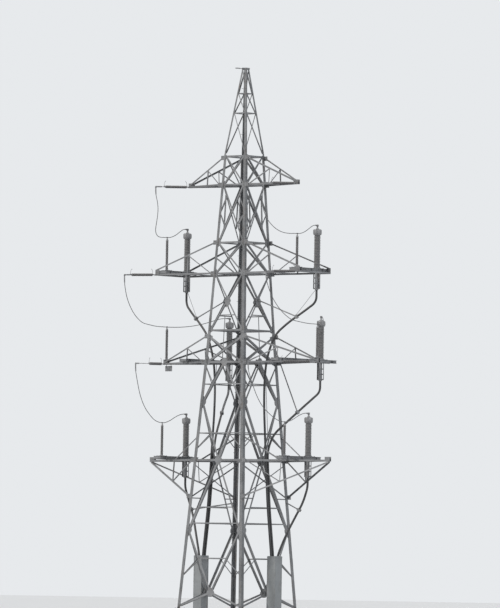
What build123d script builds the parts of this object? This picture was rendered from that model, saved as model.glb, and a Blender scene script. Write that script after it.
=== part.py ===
from build123d import *
import math
import os

# Lattice tower that ends an overhead line and takes it down into cables, at real size in millimetres.
# Origin at ground level in the middle of the base. +X points along the right arms, -Y to the line.

# body: half-widths over the outer faces of the legs, and the heights of the levels
APEX_Z = 27400
ARM_1_TOP_Z = 23100
ARM_1_Z = 21600
ARM_2_TOP_Z = 18700
ARM_2_Z = 17150
WAIST_Z = 14150
ARM_3_Z = 12700
UPPER_KNEE_Z = 10700
ARM_4_Z = 7800
ARM_4_FOOT_Z = 6000
LOWER_KNEE_Z = 4300
BASE_MID_Z = 1200
HALF_APEX = 130
HALF_ARM_1 = 710
HALF_WAIST = 1190
HALF_BASE = 2140
RING_SHARES = (0.28, 0.51)

# angle bars: flange width and thickness of the legs and of the bracing in each part of the body
LOWER_LEG = (180, 16)
UPPER_LEG = (150, 13)
PEAK_LEG = (95, 9)
LOWER_BAR = (95, 9)
UPPER_BAR = (75, 7)
PEAK_BAR = (45, 5)
THIN_BAR = (50, 6)
CHORD_BAR = (90, 9)
SEAT_GAP = 0.3
GUSSET_THICK = 10
WELD = 1
UPPER_GUSSET = (420, 480)
ARM_3_GUSSET = (460, 420)
LOWER_GUSSET = (520, 460)
THIN_UPPER_Z = 9150
THIN_LOWER_Z = 4650
PEAK_TOP_INSET = 80
PEAK_LOW_INSET = 90

# cap on the peak, and the earth wire's lug and clamp
PEAK_CAP_OVERHANG = 15
PEAK_CAP_PLATE = 20
PEAK_CAP_RIM = 90
PEAK_CAP_WALL = 10
PEAK_LUG_REACH = 90
PEAK_LUG_HALF = 12
EARTH_CHEEK = 12
EARTH_CHEEK_REACH = 60
EARTH_CLAMP_LENGTH = 560
EARTH_CLAMP_RADIUS = 26

# footings
FOOTING_TOP_Z = 350
FOOTING_TOP_WIDTH = 560
FOOTING_BASE_WIDTH = 800

# arms: reach of each tip from the tower's axis, and half-width at the tip of the square-ended one
ARM_1_REACH = 3580
ARM_2_REACH = 4780
ARM_2_HALF_END = 1185
ARM_3_REACH = 5090
ARM_4_REACH = 5900
TIP_CHEEK_HEIGHT = 185
TIP_RISE = 70
ARM_2_END_RISE = 210
ROOT_PLATE_REACH = 190
ROOT_PLATE_HEIGHT = 220
ROOT_BAR_START = 60
TIP_HALF = 60
TIP_PLATE = 12
TIP_CHEEK = 10
TIP_OVERHANG = 50
TIP_CHEEK_LENGTH = 260
TIP_FLOOR_LENGTH = 420
ARM_END_INSET = 30
ARM_POST_SHARE = 0.45
ARM_BRACE_START = 160
ARM_OFFSET = 150
CHORD_LAP = 4

# platforms: pairs of channels across each arm, by the middle of the pair and its two ends
CHANNEL_DEPTH = 160
CHANNEL_FLANGE = 65
CHANNEL_THICK = 8
CHANNEL_SPACING = 420
PLATFORM_2 = (4310, -1170, 1170)
PLATFORM_3 = (3035, -970, 3540)
PLATFORM_4 = (4055, -1640, 1240)
BASE_PLATE = 20

# cable sealing ends on the platforms
SEALING_2_Y = 680
SEALING_3_Y = 2575
SEALING_4_Y = 530
FACING_3 = (0.70, -0.71)
SEALING_HEIGHT = 2200
SEALING_RADIUS = 140
SHED_RADIUS = 172
SHED_COUNT = 9
CAP_RADIUS = 215
CAP_HEIGHT = 270
TERMINAL_HEIGHT = 240
TERMINAL_RADIUS = 60
TERMINAL_DROP = 40
TERMINAL_LUG = 130
TERMINAL_LUG_RADIUS = 30
SEALING_FLANGE_RADIUS = 190
SEALING_FLANGE_HEIGHT = 60
SEALING_PLATE_HALF = 230
PLATE_REACH = CHANNEL_SPACING / 2 + CHANNEL_FLANGE - 5
CAP_LIP = (30, 40)
CAP_SHOULDER = (60, 70)
PIPE_RADIUS = 85
PIPE_DROP = 1050
FRAME_BAR = 30
FRAME_RUNGS = (430, 690, 950)

# surge arresters
ARRESTER_2_Y = -860
ARRESTER_3_X = ARM_3_REACH - 100
ARRESTER_4_Y = -1290
ARRESTER_HEIGHT = 1640
ARRESTER_RADIUS = 55
ARRESTER_SHED = 78
ARRESTER_SHEDS = 7
ARRESTER_BASE = (80, 90)
ARRESTER_TOP = 160
ARRESTER_NECK_RADIUS = 22
ARRESTER_DISC = (38, 8)
ARRESTER_PLATE_HALF = 110
ARRESTER_3_REACH = 120
ARRESTER_RISE = SEAT_GAP + BASE_PLATE - 5 + ARRESTER_HEIGHT

# tension strings: line clamps by their X and Y, and the links next to the arm
STRING_RADIUS = 38
STRING_SHED = 72
STRING_SHEDS = 9
STRING_INSULATOR = 1640
STRING_1_END = (ARM_1_REACH - 20, -2630)
STRING_2_END = (ARM_2_REACH - 95, -3610)
STRING_3_END = (ARM_3_REACH - 1370, -3740)
LINKS = (195, 235, 350)
STRING_DROP = 110
CLAMP_LENGTH = 460
CLAMP_RADIUS = 34
LINK_RADIUS = 20
HITCH_REACH = 110
HITCH_DROP = 39
EYE_HEIGHT = 60
JUMPER_DROP = 90
HITCH_HALF = 45
HITCH_INSET = 40
HITCH_THICK = 12
EYE_RADIUS = 34
END_FITTING_RADIUS = 50
CLAMP_TAIL = 30

# jumpers and power cables
JUMPER_DIAMETER = 36
CABLE_DIAMETER = 110
CABLE_STANDOFF = 200
CABLE_SPREAD = 75
CABLE_END_Z = 30
SIDE_RUN_FOOT_Z = 5600
CLAMP_REACH = 85
CLAMP_HEIGHT = 130
STRUT_RADIUS = 30
STRUT_PLATE = 70
STRUT_3_Z = 13300
STRUT_4_Z = 5700
CROSSING_Z = 15800
CABLE_2_BENDS = (
    (3700, 450, 15230),
    (2960, 205, 14720),
    (2220, -20, 14080),
    (1750, -CABLE_SPREAD, 12900),
    (1625, -CABLE_SPREAD, 11600),
)
CABLE_3_BENDS = (
    (2720, 1875, 10650),
    (2290, 1080, 9850),
    (1900, 355, 9100),
)
CABLE_4_BENDS = (
    (3760, 540, 5720),
    (3370, 420, 5000),
    (2950, 185, 4050),
)
CABLE_DROPS = (600, 560, 480)
SIDE_RUN_2_Z = 10300
SIDE_RUN_3_Z = 8300
TAIL_BEND = (2150, 4000)
TAIL_FOOT_Z = 2900
TAIL_INSET = 150
TAIL_OFFSET = 95
STRUT_STANDOFF = 40
STRUT_3_STANDOFF = 90
STRUT_3_INSET = 90
STRUT_4_INSET = 100
CLEAT_HALF = 50
CLEAT_MARGIN = 30
CLEAT_BRACKET = (60, 25)

# cable guards
GUARD_X = 2430
GUARD_WIDTH = 520
GUARD_HEIGHT = 3050
GUARD_WALL = 8
GUARD_BRACKET = (80, 30)

UP = Vector(0, 0, 1)
SIDES = {
    "right": (Vector(1, 0, 0), Vector(0, 1, 0)),
    "back": (Vector(0, 1, 0), Vector(-1, 0, 0)),
    "left": (Vector(-1, 0, 0), Vector(0, -1, 0)),
    "front": (Vector(0, -1, 0), Vector(1, 0, 0)),
}
CORNERS = {
    "front_left": (-1, -1),
    "front_right": (1, -1),
    "back_right": (1, 1),
    "back_left": (-1, 1),
}


def blend(z, z0, z1, value0, value1):
    """Straight-line value at height z."""
    return value0 + (value1 - value0) * (z - z0) / (z1 - z0)


def half(z):
    """Half-width of the body at height z."""
    if z >= ARM_1_TOP_Z:
        return blend(z, ARM_1_TOP_Z, APEX_Z, HALF_ARM_1, HALF_APEX)
    if z >= WAIST_Z:
        return blend(z, WAIST_Z, ARM_1_TOP_Z, HALF_WAIST, HALF_ARM_1)
    return blend(z, 0, WAIST_Z, HALF_BASE, HALF_WAIST)


def join(solids):
    """One solid from pieces that overlap."""
    solids = list(solids)
    joined = solids[0].fuse(*solids[1:])
    return joined


def prism(points, direction):
    """Solid swept straight from a flat outline."""
    return Solid.extrude(Face(Wire.make_polygon(points, close=True)), direction)


def box(x0, x1, y0, y1, z0, z1):
    """Box from its lowest and highest corners."""
    outline = [Vector(x0, y0, z0), Vector(x1, y0, z0), Vector(x1, y1, z0), Vector(x0, y1, z0)]
    return prism(outline, Vector(0, 0, z1 - z0))


def square(middle, side, rise, reach):
    """Corners of a square about a point, from the directions of its sides."""
    corners = ((-1, -1), (1, -1), (1, 1), (-1, 1))
    return [middle + (side * a + rise * b) * reach for a, b in corners]


def angle_bar(start, end, outward, size, shelf=-UP):
    """Angle bar with one flange flat to outward, and the other along the edge that shelf points to."""
    width, thick = size
    along = (end - start).normalized()
    across = outward.cross(along).normalized()
    out = along.cross(across).normalized()
    if out.dot(outward) < 0:
        out = -out
    if across.dot(shelf) < 0:
        across = -across
    outline = [
        (-width / 2, 0),
        (width / 2, 0),
        (width / 2, -width),
        (width / 2 - thick, -width),
        (width / 2 - thick, -thick),
        (-width / 2, -thick),
    ]
    points = [start + across * a + out * b for a, b in outline]
    return prism(points, end - start)


def mirrored(shape):
    """The same shape on the left of the tower."""
    solids = [solid.mirror(Plane.YZ) for solid in shape.solids()]
    return solids[0] if len(solids) == 1 else Compound(solids)


# legs

def leg_outline(corner, z, size):
    """Outline of a leg's angle section at height z."""
    sx, sy = corner
    width, thick = size
    h = half(z)
    outline = [(0, 0), (width, 0), (width, thick), (thick, thick), (thick, width), (0, width)]
    return Wire.make_polygon([Vector(sx * (h - a), sy * (h - b), z) for a, b in outline], close=True)


def leg(corner):
    """Leg in three straight lengths, from the footing to the cap."""
    pieces = []
    for z0, z1, size in (
        (FOOTING_TOP_Z, WAIST_Z, LOWER_LEG),
        (WAIST_Z, ARM_1_TOP_Z, UPPER_LEG),
        (ARM_1_TOP_Z, APEX_Z, PEAK_LEG),
    ):
        ends = [leg_outline(corner, z0, size), leg_outline(corner, z1, size)]
        pieces.append(Solid.make_loft(ends, ruled=True))
    return join(pieces)


def footing(corner):
    """Tapered concrete block under one leg."""
    sx, sy = corner
    middle = half(FOOTING_TOP_Z) - LOWER_LEG[0] / 2
    outlines = []
    for z, width in ((0, FOOTING_BASE_WIDTH), (FOOTING_TOP_Z, FOOTING_TOP_WIDTH)):
        centre = Vector(sx * middle, sy * middle, z)
        points = square(centre, Vector(1, 0, 0), Vector(0, 1, 0), width / 2)
        outlines.append(Wire.make_polygon(points, close=True))
    return Solid.make_loft(outlines, ruled=True)


# faces of the body

def face_point(side, u, z, inset):
    """Point on a side of the body: u across it, z up, inset behind the outer faces of the legs."""
    normal, across = SIDES[side]
    return normal * (half(z) - inset) + across * u + UP * z


def face_normal(side, z):
    """Outward direction of a side, which leans inwards with the legs."""
    lean = (half(z - 10) - half(z + 10)) / 20
    return (SIDES[side][0] + UP * lean).normalized()


def face_bar(side, start, end, size, inset):
    """Angle bar lapped behind the leg flanges of one side."""
    normal = face_normal(side, (start[1] + end[1]) / 2)
    return angle_bar(face_point(side, *start, inset), face_point(side, *end, inset), normal, size)


def lap_u(z, leg_size, bar_size):
    """How far out a bar's middle ends, so that it laps on the leg and clears the next side's bars."""
    return half(z) - leg_size[1] - bar_size[0] * 1.6


def crossed_panel(side, z0, z1, leg_size, bar_size, inset):
    """Two bars crossed between two levels."""
    low = lap_u(z0, leg_size, bar_size)
    high = lap_u(z1, leg_size, bar_size)
    rising = face_bar(side, (-low, z0), (high, z1), bar_size, inset)
    falling = face_bar(side, (low, z0), (-high, z1), bar_size, inset)
    return [rising, falling]


def level_bar(side, z, leg_size, bar_size, inset):
    """Horizontal bar from leg to leg."""
    u = lap_u(z, leg_size, bar_size)
    return face_bar(side, (-u, z), (u, z), bar_size, inset)


def gusset(side, z, size, inset):
    """Six-sided plate in the middle of a side."""
    width, height = size
    normal = SIDES[side][0]
    points = []
    for du, dz in ((-0.5, 0), (-0.2, -0.5), (0.2, -0.5), (0.5, 0), (0.2, 0.5), (-0.2, 0.5)):
        points.append(face_point(side, du * width, z + dz * height, inset))
    return prism(points, -normal * GUSSET_THICK)


def upper_face(side):
    """Bracing of one side from the waist to the top arms."""
    leg_size = UPPER_LEG
    inset = leg_size[1] + SEAT_GAP
    half_bar = UPPER_BAR[0]
    levels = [WAIST_Z + 2 * half_bar, ARM_2_Z, ARM_2_TOP_Z, ARM_1_Z, ARM_1_TOP_Z - half_bar]
    pieces = [level_bar(side, z, leg_size, UPPER_BAR, inset) for z in levels]
    for z0, z1 in zip(levels, levels[1:]):
        pieces += crossed_panel(side, z0, z1, leg_size, UPPER_BAR, inset)
    crossing = blend(HALF_WAIST, 0, HALF_WAIST + half(ARM_2_Z), WAIST_Z, ARM_2_Z)
    pieces.append(gusset(side, crossing, UPPER_GUSSET, inset))
    return join(pieces)


def lower_face(side):
    """Bracing of one side below the waist: a crossed panel over two tall diamonds."""
    leg_size = LOWER_LEG
    inset = leg_size[1] + SEAT_GAP
    half_bar = LOWER_BAR[0]
    pieces = crossed_panel(side, ARM_3_Z, WAIST_Z - 2 * half_bar, leg_size, LOWER_BAR, inset)
    pieces += [level_bar(side, z, leg_size, LOWER_BAR, inset) for z in (ARM_3_Z, ARM_4_Z)]
    foot_z = FOOTING_TOP_Z + 2 * half_bar
    diamonds = [ARM_3_Z, UPPER_KNEE_Z, ARM_4_Z, LOWER_KNEE_Z, BASE_MID_Z, foot_z]
    at_leg = False
    for z0, z1 in zip(diamonds, diamonds[1:]):
        for way in (-1, 1):
            start = (way * lap_u(z0, leg_size, LOWER_BAR) if at_leg else 0, z0)
            end = (0 if at_leg else way * lap_u(z1, leg_size, LOWER_BAR), z1)
            pieces.append(face_bar(side, start, end, LOWER_BAR, inset))
        at_leg = not at_leg
    for z, low, high, low_z, high_z in (
        (THIN_UPPER_Z, 0, lap_u(UPPER_KNEE_Z, leg_size, LOWER_BAR), ARM_4_Z, UPPER_KNEE_Z),
        (THIN_LOWER_Z, lap_u(LOWER_KNEE_Z, leg_size, LOWER_BAR), 0, LOWER_KNEE_Z, ARM_4_Z),
    ):
        u = blend(z, low_z, high_z, low, high)
        pieces.append(face_bar(side, (-u, z), (u, z), THIN_BAR, inset))
    pieces.append(gusset(side, ARM_3_Z, ARM_3_GUSSET, inset))
    pieces.append(gusset(side, ARM_4_Z, LOWER_GUSSET, inset))
    pieces.append(gusset(side, BASE_MID_Z, LOWER_GUSSET, inset))
    return join(pieces)


def peak_face(side):
    """Bracing of one side of the peak: one bar a panel, winding round the tower."""
    leg_size = PEAK_LEG
    inset = leg_size[1] + SEAT_GAP
    rings = [APEX_Z - (APEX_Z - ARM_1_TOP_Z) * share for share in RING_SHARES]
    levels = [APEX_Z - PEAK_TOP_INSET] + rings + [ARM_1_TOP_Z + PEAK_LOW_INSET]
    pieces = [level_bar(side, z, leg_size, PEAK_BAR, inset) for z in rings]
    for z0, z1 in zip(levels, levels[1:]):
        start = (-lap_u(z0, leg_size, PEAK_BAR), z0)
        end = (lap_u(z1, leg_size, PEAK_BAR), z1)
        pieces.append(face_bar(side, start, end, PEAK_BAR, inset))
    return join(pieces)


def peak_cap():
    """Plate on top of the four legs, with a rim and a lug for the earth wire."""
    reach = HALF_APEX + PEAK_CAP_OVERHANG
    inner = reach - PEAK_CAP_WALL
    z = APEX_Z + SEAT_GAP
    plate = box(-reach, reach, -reach, reach, z, z + PEAK_CAP_PLATE)
    rim = box(-reach, reach, -reach, reach, z, z + PEAK_CAP_RIM)
    rim = rim - box(-inner, inner, -inner, inner, z, z + PEAK_CAP_RIM)
    lug = box(-PEAK_LUG_HALF, PEAK_LUG_HALF, -reach - PEAK_LUG_REACH, -inner, z, z + PEAK_CAP_RIM)
    return join([plate, rim, lug])


# arms, built on the right and mirrored to the left

def root_plate(way, z, leg_size):
    """Plate that laps on the outside of a leg and carries the arm's bars."""
    back = leg_size[0] * 0.75
    low_z = z - ROOT_PLATE_HEIGHT / 2
    high_z = z + ROOT_PLATE_HEIGHT / 2
    points = []
    for dx, pz in ((-back, low_z), (ROOT_PLATE_REACH, low_z), (ROOT_PLATE_REACH, high_z), (-back, high_z)):
        points.append(Vector(half(pz) + dx, way * (half(pz) + SEAT_GAP), pz))
    return prism(points, Vector(0, way * GUSSET_THICK, 0))


def root_point(way, z):
    """Where a bar leaves its root plate."""
    return Vector(half(z) + ROOT_BAR_START, way * (half(z) + SEAT_GAP + GUSSET_THICK - WELD), z)


def on_line(start, end, x):
    """Point of a straight bar at a distance x from the axis."""
    share = (x - start.X) / (end.X - start.X)
    return start + (end - start) * share


def tip_fork(reach, z):
    """Floor plate and cheeks that close a pointed arm."""
    end = reach + TIP_OVERHANG
    high = z - CHORD_BAR[0] / 2 + TIP_PLATE / 2
    low = high - TIP_PLATE
    wide = TIP_HALF + TIP_PLATE
    floor = box(reach - TIP_FLOOR_LENGTH, end, -wide, wide, low, high)
    cheeks = []
    for y in (-TIP_HALF, TIP_HALF):
        y0 = y - TIP_CHEEK / 2
        cheeks.append(box(reach - TIP_CHEEK_LENGTH, end, y0, y0 + TIP_CHEEK, low, z + TIP_CHEEK_HEIGHT))
    return [floor] + cheeks


def side_bars(way, top, bottom, mid_x, foot_x):
    """Post and diagonal between the two chords of one side of an arm."""
    outward = Vector(0, way, 0)
    high = on_line(*top, mid_x) - outward * CHORD_LAP
    low = on_line(*bottom, mid_x) - outward * CHORD_LAP
    foot = on_line(*bottom, foot_x) - outward * CHORD_LAP
    return [
        angle_bar(low, high, outward, THIN_BAR, Vector(-1, 0, 0)),
        angle_bar(foot, high, outward, THIN_BAR),
    ]


def square_end(reach, half_end, level_z):
    """Cross bar and corner plates of the square-ended arm."""
    corner = half_end + CHORD_LAP
    start = Vector(reach, -corner, level_z)
    end = Vector(reach, corner, level_z)
    pieces = [angle_bar(start, end, Vector(1, 0, 0), CHORD_BAR, UP)]
    low = level_z - CHORD_BAR[0] / 2
    high = level_z + ARM_2_END_RISE + UPPER_BAR[0] / 2
    for y in (-corner, corner - GUSSET_THICK):
        pieces.append(box(reach - TIP_CHEEK_LENGTH, reach, y, y + GUSSET_THICK, low, high))
    return pieces


def arm(reach, level_z, other_z, leg_size, half_end):
    """Arm with level chords at level_z and sloping ones that start at other_z."""
    pointed = half_end == TIP_HALF
    rise = TIP_RISE if pointed else ARM_2_END_RISE
    sloping_end_z = level_z + (rise if other_z > level_z else -rise)
    mid_x = blend(ARM_POST_SHARE, 0, 1, half(level_z), reach)
    end_x = reach - ARM_END_INSET
    end_y = half_end + CHORD_LAP
    pieces = []
    for way in (-1, 1):
        outward = Vector(0, way, 0)
        level = (root_point(way, level_z), Vector(end_x, way * end_y, level_z))
        slope = (root_point(way, other_z), Vector(end_x, way * end_y, sloping_end_z))
        pieces += [root_plate(way, z, leg_size) for z in (level_z, other_z)]
        pieces.append(angle_bar(*level, outward, CHORD_BAR, UP))
        pieces.append(angle_bar(*slope, outward, UPPER_BAR, UP))
        pieces += side_bars(way, slope, level, mid_x, half(level_z) + ARM_BRACE_START)
    cross_start = on_line(root_point(-1, level_z), Vector(end_x, -end_y, level_z), mid_x)
    cross_start += Vector(0, CHORD_LAP, 0)
    cross_end = Vector(cross_start.X, -cross_start.Y, cross_start.Z)
    pieces.append(angle_bar(cross_start, cross_end, Vector(1, 0, 0), THIN_BAR))
    pieces += tip_fork(reach, level_z) if pointed else square_end(reach, half_end, level_z)
    return join(pieces)


def platform(spec, level_z):
    """Pair of channels laid across the level chords of an arm, webs facing each other."""
    middle, y0, y1 = spec
    low_z = level_z + CHORD_BAR[0] / 2 + SEAT_GAP
    high_z = low_z + CHANNEL_DEPTH
    pieces = []
    for way in (-1, 1):
        inner = middle + way * CHANNEL_SPACING / 2
        t = CHANNEL_THICK
        section = [
            (0, 0),
            (CHANNEL_FLANGE, 0),
            (CHANNEL_FLANGE, t),
            (t, t),
            (t, CHANNEL_DEPTH - t),
            (CHANNEL_FLANGE, CHANNEL_DEPTH - t),
            (CHANNEL_FLANGE, CHANNEL_DEPTH),
            (0, CHANNEL_DEPTH),
        ]
        points = [Vector(inner + way * a, y0, low_z + b) for a, b in section]
        pieces.append(prism(points, Vector(0, y1 - y0, 0)))
    for y in (y0, y1 - CHANNEL_THICK):
        edge = CHANNEL_SPACING / 2 + CHANNEL_THICK
        pieces.append(box(middle - edge, middle + edge, y, y + CHANNEL_THICK, low_z + 20, high_z - 20))
    return join(pieces)


def platform_top(level_z):
    """Height of the top of the channels over an arm's level chords."""
    return level_z + CHORD_BAR[0] / 2 + SEAT_GAP + CHANNEL_DEPTH


# insulators and the equipment on the platforms

def turned(outline):
    """Solid turned about the vertical from (radius, height) points."""
    points = [Vector(r, 0, z) for r, z in outline]
    face = Face(Wire.make_polygon(points, close=True))
    return Solid.revolve(face, 360, Axis.Z)


def shed_outline(core, shed, low, high, count):
    """Outline of a core with sheds: each slopes out and down, and is undercut flat."""
    pitch = (high - low) / count
    profile = ((core, 0.2), (shed, 0.28), (shed, 0.36), (core, 0.75))
    points = []
    for i in range(count):
        z = low + i * pitch
        points += [(radius, z + pitch * share) for radius, share in profile]
    return points


def sealing_outline():
    """Outline of a sealing end: flange, sheds, rounded cap and terminal."""
    body_low = BASE_PLATE + SEALING_FLANGE_HEIGHT
    body_high = SEALING_HEIGHT - CAP_HEIGHT - TERMINAL_HEIGHT
    cap_high = body_high + CAP_HEIGHT
    flange = SEALING_FLANGE_RADIUS
    outline = [(0, 0), (flange, 0), (flange, body_low), (SEALING_RADIUS, body_low)]
    outline += shed_outline(SEALING_RADIUS, SHED_RADIUS, body_low, body_high, SHED_COUNT)
    outline += [
        (SEALING_RADIUS, body_high),
        (CAP_RADIUS - CAP_LIP[0], body_high),
        (CAP_RADIUS, body_high + CAP_LIP[1]),
        (CAP_RADIUS, cap_high - CAP_SHOULDER[1]),
        (CAP_RADIUS - CAP_SHOULDER[0], cap_high),
        (TERMINAL_RADIUS, cap_high),
        (TERMINAL_RADIUS, SEALING_HEIGHT),
        (0, SEALING_HEIGHT),
    ]
    return outline


def hanging_frame(x, y, z):
    """Ladder frame under a platform that steadies a cable pipe."""
    outer = CHANNEL_SPACING / 2 - 5
    low = z - PIPE_DROP + FRAME_BAR + 10
    pieces = []
    for inner in (-outer, outer - FRAME_BAR):
        pieces.append(box(x + inner, x + inner + FRAME_BAR, y - FRAME_BAR, y + FRAME_BAR, low, z + 10))
    for drop in FRAME_RUNGS:
        pieces.append(box(x - outer, x + outer, y - 12, y + 12, z - drop - 2 * FRAME_BAR, z - drop))
    return pieces


def sealing_end(x, y, level_z, facing):
    """Cable sealing end on its base plate, with the cable pipe and its support frame hanging below."""
    z = platform_top(level_z) + SEAT_GAP
    body = turned(sealing_outline()).moved(Location((x, y, z)))
    depth = SEALING_PLATE_HALF
    plate = box(x - PLATE_REACH, x + PLATE_REACH, y - depth, y + depth, z, z + BASE_PLATE)
    pipe = Solid.make_cylinder(PIPE_RADIUS, PIPE_DROP + 10, Plane(origin=(x, y, z - PIPE_DROP)))
    lug_plane = Plane(origin=(x, y, z + SEALING_HEIGHT - TERMINAL_DROP), z_dir=Vector(*facing, 0))
    lug = Solid.make_cylinder(TERMINAL_LUG_RADIUS, TERMINAL_LUG, lug_plane)
    return join([body, plate, pipe, lug] + hanging_frame(x, y, z))


def arrester(x, y, seat_z):
    """Surge arrester: a slim shed column that tapers at the top to a flat terminal."""
    base_radius, base_height = ARRESTER_BASE
    disc_radius, disc_thick = ARRESTER_DISC
    top = ARRESTER_HEIGHT - ARRESTER_TOP
    under_disc = ARRESTER_HEIGHT - disc_thick
    neck = ARRESTER_NECK_RADIUS
    outline = [(0, 0), (base_radius, 0), (base_radius, base_height), (ARRESTER_RADIUS, base_height)]
    outline += shed_outline(ARRESTER_RADIUS, ARRESTER_SHED, base_height + 20, top, ARRESTER_SHEDS)
    outline += [
        (ARRESTER_RADIUS, top),
        (ARRESTER_RADIUS + 10, top),
        (neck + 18, ARRESTER_HEIGHT - 60),
        (neck, ARRESTER_HEIGHT - 50),
        (neck, under_disc),
        (disc_radius, under_disc),
        (disc_radius, ARRESTER_HEIGHT),
        (0, ARRESTER_HEIGHT),
    ]
    return turned(outline).moved(Location((x, y, seat_z + SEAT_GAP)))


def arrester_on(x, y, seat_z, reach):
    """Arrester with the plate under it, as one piece."""
    z = seat_z + SEAT_GAP
    depth = ARRESTER_PLATE_HALF
    foot = box(x - reach, x + reach, y - depth, y + depth, z, z + BASE_PLATE)
    return join([foot, arrester(x, y, seat_z + BASE_PLATE - 5)])


def hitch_point(x, edge_y, level_z):
    """Where a string's eye sits on its lug."""
    return Vector(x, edge_y - HITCH_REACH + HITCH_HALF, level_z - HITCH_DROP + SEAT_GAP)


def hitch_lug(x, edge_y, level_z):
    """Lug that a tension string is hung on."""
    high = level_z - HITCH_DROP
    low_y = edge_y - HITCH_REACH
    return box(x - HITCH_HALF, x + HITCH_HALF, low_y, edge_y + TIP_PLATE, high - HITCH_THICK, high)


def string_outline(link, length):
    """Outline of a tension string along its own line: link, end fittings, sheds and line clamp."""
    high = link + STRING_INSULATOR
    fitting = END_FITTING_RADIUS
    outline = [(0, 0), (LINK_RADIUS, 0), (LINK_RADIUS, link - 60)]
    outline += [(fitting, link - 50), (fitting, link + 30)]
    outline += shed_outline(STRING_RADIUS, STRING_SHED, link + 30, high - 30, STRING_SHEDS)
    outline += [
        (fitting, high - 30),
        (fitting, high + 50),
        (LINK_RADIUS, high + 60),
        (LINK_RADIUS, length - CLAMP_LENGTH),
        (CLAMP_RADIUS, length - CLAMP_LENGTH + 20),
        (CLAMP_RADIUS, length + CLAMP_TAIL),
        (0, length + CLAMP_TAIL),
    ]
    return outline


def tension_string(hitch, end, link):
    """Tension insulator from its eye to the line clamp, with the terminal that the jumper hangs from."""
    eye = Solid.make_cylinder(EYE_RADIUS, EYE_HEIGHT, Plane(origin=hitch))
    start = hitch + UP * EYE_HEIGHT / 2
    finish = Vector(end[0], end[1], start.Z - STRING_DROP)
    frame = Plane(origin=start, z_dir=finish - start)
    body = turned(string_outline(link, (finish - start).length)).moved(frame.location)
    drop = Solid.make_cylinder(TERMINAL_LUG_RADIUS, JUMPER_DROP, Plane(origin=finish - UP * JUMPER_DROP))
    return join([eye, body, drop])


# cables and jumpers

def route(points, diameter, name):
    """Round bar along straight runs joined by arcs as large as the runs allow."""
    points = [Vector(*p) for p in points]
    runs = [b - a for a, b in zip(points, points[1:])]
    radii = []
    for before, after in zip(runs, runs[1:]):
        turn = math.radians(before.get_angle(after))
        radii.append(0.45 * min(before.length, after.length) / math.tan(turn / 2))
    print(name, "radii", [round(r) for r in radii], "longest run", round(max(r.length for r in runs)))
    line = FilletPolyline(*points, radius=radii)
    ring = Plane(origin=points[0], z_dir=runs[0]) * Circle(diameter / 2)
    tube = sweep(ring, path=line)
    share = tube.volume / (ring.area * line.length)
    print(name, "length", round(line.length), "volume share", round(share, 4))
    return tube.solid()


def clamp_block(points, index, reach, height):
    """Block round a cable in the middle of one of its runs, and the room that the cable needs there."""
    start = Vector(*points[index])
    end = Vector(*points[index + 1])
    middle = (start + end) / 2
    along = (end - start).normalized()
    side = along.cross(UP).normalized()
    rise = side.cross(along).normalized()
    block = prism(square(middle - along * height / 2, side, rise, reach), along * height)
    hole_plane = Plane(origin=middle - along * height, z_dir=along)
    hole = Solid.make_cylinder(CABLE_DIAMETER / 2 + SEAT_GAP, 2 * height, hole_plane)
    return middle, block, hole


def clamp_strut(points, index, seat, seat_normal, standoff):
    """Cable clamp held off the tower by a strut, with a foot plate on the steel that carries it."""
    middle, block, hole = clamp_block(points, index, CLAMP_REACH, CLAMP_HEIGHT)
    start = seat + seat_normal * standoff
    towards = (middle - start).normalized()
    stop = middle - towards * (CABLE_DIAMETER / 2 + 15)
    tube = Solid.make_cylinder(STRUT_RADIUS, (stop - start).length, Plane(origin=start, z_dir=towards))
    side = seat_normal.cross(UP).normalized()
    plate = prism(square(seat, side, UP, STRUT_PLATE), seat_normal * TIP_PLATE)
    stub = prism(square(seat, side, UP, STRUT_RADIUS + 8), seat_normal * (standoff + 10))
    return join([block, tube, plate, stub]) - hole


def side_run(y, high_z):
    """Straight run of a cable down the middle of a side, a fixed distance out from the leg line."""
    return [(half(z) + CABLE_STANDOFF, y, z) for z in (high_z, SIDE_RUN_FOOT_Z)]


def cable_routes():
    """Routes of the three power cables on the right, from the pipes under the sealing ends to the guard."""
    guard_in = GUARD_X - TAIL_INSET
    guard_out = GUARD_X + TAIL_OFFSET
    tail = [TAIL_BEND, (guard_in, TAIL_FOOT_Z), (guard_in, CABLE_END_Z)]
    starts = []
    for x, y, level, drop in (
        (PLATFORM_2[0], SEALING_2_Y, ARM_2_Z, CABLE_DROPS[0]),
        (PLATFORM_3[0], SEALING_3_Y, ARM_3_Z, CABLE_DROPS[1]),
        (PLATFORM_4[0], SEALING_4_Y, ARM_4_Z, CABLE_DROPS[2]),
    ):
        bottom = platform_top(level) - PIPE_DROP
        starts.append([(x, y, bottom), (x, y, bottom - drop)])
    first = starts[0] + list(CABLE_2_BENDS) + side_run(-CABLE_SPREAD, SIDE_RUN_2_Z)
    first += [(x, -CABLE_SPREAD, z) for x, z in tail]
    second = starts[1] + list(CABLE_3_BENDS) + side_run(CABLE_SPREAD, SIDE_RUN_3_Z)
    second += [(x, CABLE_SPREAD, z) for x, z in tail]
    third = starts[2] + list(CABLE_4_BENDS) + [(guard_out, 0, TAIL_FOOT_Z), (guard_out, 0, CABLE_END_Z)]
    return {"cable_2": first, "cable_3": second, "cable_4": third}


def seat_on_leg(z, inset, way):
    """Point on the outside of a leg's flange, clear of its lean: way 0 is the arm's side, 1 the back."""
    out = half(z - STRUT_PLATE) + SEAT_GAP
    along = half(z) - inset
    return Vector(out, along, z) if way == 0 else Vector(along, out, z)


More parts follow.
